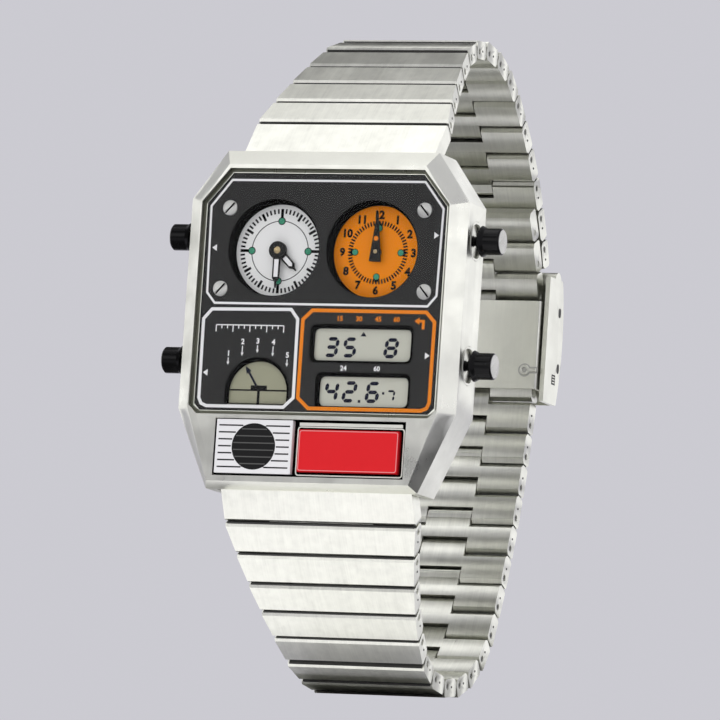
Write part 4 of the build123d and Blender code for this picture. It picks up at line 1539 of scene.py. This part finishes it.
@dataclass
class Displays:
    """The three liquid crystal windows. Each figure has its window, place, size and stroke."""

    finishes: Finishes
    front: float = 7.1
    thickness: float = 0.02
    slant: float = 0.14
    gap_share: float = 0.12
    figures: tuple[tuple[str, Point, Point, Point, float], ...] = (
        ("3", UPPER_WINDOW, (-4.15, -0.3), (1.8, 2.5), 0.46),
        ("5", UPPER_WINDOW, (-1.75, -0.3), (1.8, 2.5), 0.46),
        ("8", UPPER_WINDOW, (3.7, -0.3), (1.8, 2.5), 0.46),
        ("4", LOWER_WINDOW, (-4.35, 0.0), (1.8, 2.65), 0.46),
        ("2", LOWER_WINDOW, (-1.95, 0.0), (1.8, 2.65), 0.46),
        ("6", LOWER_WINDOW, (1.1, 0.0), (1.8, 2.65), 0.46),
        ("7", LOWER_WINDOW, (3.45, -0.4), (1.15, 1.45), 0.26),
    )

    SEGMENTS = {
        "2": "abged",
        "3": "abgcd",
        "4": "fgbc",
        "5": "afgcd",
        "6": "afgedc",
        "7": "abc",
        "8": "abcdefg",
    }

    def build(self) -> None:
        """Dress the panels and light their segments."""
        dress("lcd_panels", self.finishes.lcd)
        digits = Inlay(self.front, self.thickness)
        for character, window, place, size, stroke in self.figures:
            self._digit(digits, character, shifted(window, *place), size, stroke)
        x, z = UPPER_WINDOW
        digits.slab([(x - 0.45, z + 1.1), (x + 0.35, z + 1.1), (x - 0.05, z + 1.65)])
        x, z = LOWER_WINDOW
        digits.slab(rectangle((x - 0.62, z - 1.15), 0.34, 0.34))
        digits.slab(rectangle((x + 2.5, z - 0.1), 0.3, 0.3))
        digits.make("window_digits", self.finishes.segment, Slot.LCD)
        self._mode_window()

    def _digit(
        self, digits: Inlay, character: str, centre: Point, size: Point, stroke: float
    ) -> None:
        """Add one seven-segment figure.

        Args:
            digits: The print to add to.
            character: The figure.
            centre: Its middle.
            size: Its width and height.
            stroke: The width of a segment.
        """
        w, h, s = (size[0] - stroke) / 2, (size[1] - stroke) / 2, stroke / 2
        gap = stroke * self.gap_share
        flat = [(-w + gap, 0.0), (-w + s + gap, s), (w - s - gap, s), (w - gap, 0.0)]
        flat += [(w - s - gap, -s), (-w + s + gap, -s)]
        tall = [(0.0, gap), (s, s + gap), (s, h - s - gap), (0.0, h - gap)]
        tall += [(-s, h - s - gap), (-s, s + gap)]
        moves = {"a": (0.0, h), "g": (0.0, 0.0), "d": (0.0, -h), "b": (w, 0.0), "f": (-w, 0.0)}
        moves |= {"c": (w, -h), "e": (-w, -h)}
        for key in self.SEGMENTS[character]:
            across, up = moves[key]
            shape = ((x + across, z + up) for x, z in (flat if key in "agd" else tall))
            digits.slab([(centre[0] + x + z * self.slant, centre[1] + z) for x, z in shape])

    def _mode_window(self) -> None:
        """Light the round window: a line, a post, a block and a pointer."""
        x, z = MODE_WINDOW
        # Painted shade: the round window's ground takes the darker copy of the liquid crystal.
        ground = Inlay(self.front - 0.015, 0.01)
        ground.slab(arch(MODE_WINDOW, 4.0, 1.45))
        ground.make("mode_window_ground", self.finishes.mode_lcd, Slot.LCD)
        marks = Inlay(self.front, self.thickness)
        for rise, width, height in ((0.3, 7.7, 0.2), (-0.62, 0.36, 1.7), (0.63, 2.15, 0.55)):
            marks.slab(rectangle((x, z + rise), width, height))
        marks.make("mode_window_stand", self.finishes.black_print, Slot.LCD)
        needle = Inlay(self.front, self.thickness)
        pointer = both_sides([(-0.14, 0.0), (-0.14, 2.0), (-0.4, 1.95)], (0.0, 2.92))
        needle.slab(turned(pointer, -33.0, (x - 0.34, z + 0.85)))
        needle.make("mode_window_pointer", self.finishes.segment, Slot.LCD)


# The buttons and what is inside the case


@dataclass
class Works:
    """The push buttons and the parts under the case back."""

    finishes: Finishes
    flank: float = 18.4
    depth: float = -3.5
    levels: tuple[tuple[str, float], ...] = (("upper", 10.6), ("lower", -4.85))
    pocket: float = 2.43
    pocket_sink: float = 0.25
    collar: Point = (1.97, 2.41)
    collar_width: float = 0.3
    collar_height: float = 0.4
    collar_bore: float = 0.68
    collar_lift: float = 0.02
    fit: float = 0.01
    sleeve_radius: float = 1.4
    sleeve_bore: float = 0.62
    sleeve_front: float = 0.92
    sleeve_length: float = 0.45

    def build(self) -> None:
        """Dress them all."""
        for side, turn in (("left", -1), ("right", 1)):
            for level, height in self.levels:
                name = f"pusher_{side}_{level}"
                dress(name, self.finishes.pusher, 0.06)
                self._collar(name, turn, (self.depth, height))
        for node, finish in (
            ("module_frame", self.finishes.frame),
            ("circuit_board", self.finishes.board),
            ("battery", self.finishes.cell),
            ("hand_movements", self.finishes.movement),
        ):
            dress(node, finish)

    def _collar(self, name: str, turn: int, centre: Point) -> None:
        """Set the oval collar round a button, painted shade in the pocket round it, and the button's
        black sleeve.

        Args:
            name: The button's node, which is also its body.
            turn: 1 for the side at 3 o'clock and -1 for the other.
            centre: The depth and height of its middle.
        """
        across, up = self.collar
        inner = oval(centre, across - self.collar_width, up - self.collar_width)
        rim = Inlay(self.flank + self.collar_lift, self.collar_height)
        rim.band(oval(centre, across, up), inner)
        rim.band(inner, circle(centre, self.collar_bore), self.flank - self.collar_height, 0.06)
        # Painted shade: a flat black ring in the pocket round the collar.
        pit = Inlay(self.flank - self.pocket_sink, 0.2)
        pit.band(circle(centre, self.pocket), oval(centre, across + self.fit, up - self.fit))
        sleeve = Inlay(self.flank + self.sleeve_front, self.sleeve_length)
        sleeve.band(circle(centre, self.sleeve_radius), circle(centre, self.sleeve_bore))
        for shape, ending, finish, slot, body, bevel in (
            (rim, "_collar", self.finishes.silver, Slot.CASE, "case", 0.05),
            (pit, "_pocket_shade", self.finishes.recess, Slot.DIAL, "case", 0.0),
            (sleeve, "_sleeve", self.finishes.pusher_black, Slot.PUSHER, name, 0.04),
        ):
            shape.aside(turn)
            shape.make(name + ending, finish, slot, body, bevel)


# The bracelet


@dataclass(frozen=True)
class LinkRow:
    """One half of the bracelet as seen from the side, out from the case."""

    prefix: str
    end: int
    start: Point
    first_pitch: float
    headings: tuple[float, ...]
    groups: tuple[tuple[int, ...], ...]
    pitch: float = 4.25
    overhang: float = 1.05
    gap: float = 0.22
    case_half: float = 12.65
    clasp_half: float = 8.8
    taper_links: int = 7
    taper_share: float = 1.35

    def node(self, group: tuple[int, ...]) -> str:
        """Give the name of the node that holds a group of links."""
        numbers = "_".join(f"{number:02d}" for number in group)
        return f"{self.prefix}_link{'s' if len(group) > 1 else ''}_{numbers}"

    def pitch_of(self, number: int) -> float:
        """Give a link's length from pivot to pivot."""
        return self.first_pitch if number == 1 else self.pitch

    def pivot(self, number: int) -> Point:
        """Give the depth and height of a link's near pivot.

        Args:
            number: The link.

        Returns:
            The pivot's depth and height.
        """
        depth, height = self.start
        for index in range(number - 1):
            turn = math.radians(self.headings[index])
            depth += self.pitch_of(index + 1) * math.cos(turn)
            height += self.end * self.pitch_of(index + 1) * math.sin(turn)
        return depth, height

    def spot(self, number: int, along: float, out: float) -> Point:
        """Give the depth and height of a place on a link.

        Args:
            number: The link.
            along: How far along it is from the near pivot.
            out: How far it is from the pivots' line, away from the wrist.

        Returns:
            Its depth and height.
        """
        depth, height = self.pivot(number)
        turn = math.radians(self.headings[number - 1])
        return (
            depth + along * math.cos(turn) - out * math.sin(turn),
            height + self.end * (along * math.sin(turn) + out * math.cos(turn)),
        )

    def half(self, boundary: int) -> float:
        """Give half the bracelet's width after a number of links."""
        if boundary >= self.taper_links:
            return self.clasp_half
        share = min(1.0, (self.taper_links - boundary) / (self.taper_links - 1))
        return self.clasp_half + (self.case_half - self.clasp_half) * share**self.taper_share

    def half_at(self, number: int, along: float) -> float:
        """Give half a link's width at a place along it."""
        near, far = self.half(number - 1), self.half(number)
        return near + (far - near) * (along + self.overhang) / self.pitch_of(number)


@dataclass
class Bracelet:
    """The folded links of both halves, with painted shade in the gaps and the pin ends between them."""

    finishes: Finishes
    edge: float = 0.07
    steep: float = 30.0
    upright: float = 45.0
    front_crown: float = 0.0
    back_crown: float = 0.85
    seam_top: float = 1.13
    seam_foot: float = 0.3
    seam_side: float = 0.25
    seam_gap: float = 0.03
    dot_radius: float = 0.3
    dot_depth: float = 0.1
    small_dot_radius: float = 0.14
    small_dot: Point = (1.35, 0.1)
    rows: tuple[LinkRow, ...] = (
        LinkRow(
            "upper",
            1,
            (-4.0, 19.9),
            7.5,
            (50.6, 44.6, 41.1, 37.6, 34.1, 19.9, 5.7, -8.5, -22.7, -36.9, -41.9, -46.9, -51.9, -56.9)
            + (-61.9, -66.9),
            ((1,), (2, 3), (4, 5), (6,), (7,), (8,), (9,), (10,), (11,), (12,), (13, 14), (15,), (16,)),
        ),
        LinkRow(
            "lower",
            -1,
            (-4.0, -19.9),
            6.0,
            (62.3, 55.3, 50.3, 45.3, 40.3, 35.3, 21.0, 6.8, -7.5, -21.8, -36.1, -50.3, -64.6, -66.9)
            + (-69.2, -71.5, -73.8, -76.1, -78.4, -80.7),
            ((1,), (2, 3), (4, 5), (6,), (7,), (8,), (9,), (10,), (11,), (12,), (13,))
            + ((14, 15), (16, 17), (18, 19), (20,)),
        ),
    )

    def build(self) -> None:
        """Dress every link and set the painted shade in its gaps and its pin ends."""
        for row in self.rows:
            for group in row.groups:
                node = row.node(group)
                heading = row.headings[group[0] - 1]
                crown = self.front_crown if heading > self.steep else self.back_crown
                finish = self.finishes.band(abs(heading) > self.upright, len(group), crown)
                dress(node, finish, self.edge)
                hinged = [number for number in group if number > 1]
                if hinged:
                    self._seams(row, hinged, node)
                    self._pin_ends(row, hinged, node)
        for node, plates in (
            ("tail_link_1", 1),
            ("tail_link_2", 1),
            ("tail_link_3", 1),
            ("gripped_links", 3),
        ):
            dress(node, self.finishes.band(True, plates, self.back_crown), self.edge)

    def _seams(self, row: LinkRow, numbers: Sequence[int], node: str) -> None:
        """Fill the gap before each link with a strip of painted shade.

        Args:
            row: The half of the bracelet.
            numbers: The node's links that have a hinge before them.
            node: The node, which is also its body.
        """
        strip = Inlay()
        near, far = -row.overhang - row.gap + self.seam_gap, -row.overhang - self.seam_gap
        foot, top = self.seam_foot, self.seam_top
        for number in numbers:
            places = ((near, foot), (far, foot), (far, top), (near, top))
            half = row.half(number - 1) - self.seam_side
            strip.slab([row.spot(number, *place) for place in places], half, 2 * half)
        strip.aside(1)
        strip.make(node + "_seam", self.finishes.seam, Slot.BAND, node)

    def _pin_ends(self, row: LinkRow, numbers: Sequence[int], node: str) -> None:
        """Mark the pin ends and the pressed dot beside them on both edges.

        Args:
            row: The half of the bracelet.
            numbers: The node's links that have a hinge before them.
            node: The node, which is also its body.
        """
        dots = Inlay()
        along, out = self.small_dot
        for number in numbers:
            near, far = row.half(number - 1), row.half(number)
            reach = near - self.dot_depth - (near - far) * 2 * row.overhang / row.pitch
            dots.slab(circle(row.pivot(number), self.dot_radius, 16), reach + 0.03, 0.08)
            spot = circle(row.spot(number, along, out), self.small_dot_radius, 12)
            dots.slab(spot, row.half_at(number, along + self.small_dot_radius) + 0.05, 0.1)
        dots.aside(1)
        dots.mirrored()
        dots.make(node + "_pin_ends", self.finishes.pin, Slot.BAND, node)


@dataclass
class Clasp:
    """The fold-over clasp: its cover, its sleeve and the locking plate.

    A stem is given by how far its middle is from the keyhole's, its length, height and corners.
    """

    finishes: Finishes
    cover_side: float = 10.4
    holes: tuple[Point, ...] = ((49.5, 9.0), (50.07, 1.8))
    hole_size: Point = (0.42, 0.62)
    notch: Point = (48.6, 0.2)
    notch_size: Point = (1.25, 1.3)
    hatch_size: Point = (0.85, 0.12)
    hatch_pitch: float = 0.36
    sleeve_face: float = -44.47
    catch: Point = (7.9, 0.9)
    catch_radius: float = 0.7
    catch_hole: float = 0.3
    catch_lift: float = 0.2
    catch_stem: tuple[float, float, float, float] = (1.1, 1.1, 0.5, 0.15)
    hollow_radius: float = 0.86
    hollow_stem: tuple[float, float, float, float] = (0.95, 1.7, 0.86, 0.2)

    def build(self) -> None:
        """Dress the clasp's plates and set what shows on them."""
        for node, edge in (("clasp_cover", 0.08), ("clasp_sleeve", 0.06), ("clasp_lock_plate", 0.04)):
            dress(node, self.finishes.clasp, edge)
        self._cover_marks()
        self._catch()

    def _cover_marks(self) -> None:
        """Paint shade into the two long holes and the hatched notch in both cheeks of the cover."""
        dark, pale = Inlay(self.cover_side + 0.02), Inlay(self.cover_side + 0.035)
        for hole in self.holes:
            dark.slab(oval(hole, *self.hole_size, 24))
        dark.slab(rectangle(self.notch, *self.notch_size))
        depth, height = self.notch
        for step in (-1, 0, 1):
            pale.slab(rectangle((depth, height + self.hatch_pitch * step), *self.hatch_size))
        for marks, name, finish in (
            (dark, "clasp_cover_hole_shade", self.finishes.seam),
            (pale, "clasp_cover_hatching", self.finishes.silver),
        ):
            marks.aside(1)
            marks.mirrored()
            marks.make(name, finish, Slot.BAND, "cover")

    def _stem(self, across: float, length: float, height: float, corner: float) -> list[Point]:
        """Give the outline of a keyhole's stem."""
        return eased(rectangle(shifted(self.catch, across, 0.0), length, height), corner)

    def _catch(self) -> None:
        """Raise the keyhole shaped catch on the sleeve's wrist side, over a darker keyhole that is its
        painted shadow.
        """
        face = self.sleeve_face
        # Painted shadow: a slightly larger keyhole of darker steel under the catch.
        catch_shadow = Inlay(face, 0.04)
        catch_shadow.slab(circle(self.catch, self.hollow_radius, 40))
        catch_shadow.slab(self._stem(*self.hollow_stem), face + 0.004)
        catch_shadow.make("sleeve_catch_painted_shadow", self.finishes.screw, Slot.BAND, "sleeve")
        catch = Inlay(face + self.catch_lift, 0.24)
        head, hole = (circle(self.catch, radius, 40) for radius in (self.catch_radius, self.catch_hole))
        catch.band(head, hole)
        catch.slab(self._stem(*self.catch_stem), face + 0.23, 0.26)
        catch.make("sleeve_catch", self.finishes.clasp, Slot.BAND, "sleeve", 0.1)


def main() -> None:
    """Dress the watch and set up its studio."""
    logging.basicConfig(level=logging.INFO, format="%(name)s: %(message)s")
    Studio().build()
    finishes = Finishes()
    CaseShell(finishes).build()
    ChinPlates(finishes).build()
    DialFace(finishes).build()
    TimeDial(finishes, TIME_CENTRE).build()
    ZoneDial(finishes, ZONE_CENTRE).build()
    Displays(finishes).build()
    Works(finishes).build()
    Bracelet(finishes).build()
    Clasp(finishes).build()


if __name__ == "__main__":
    main()
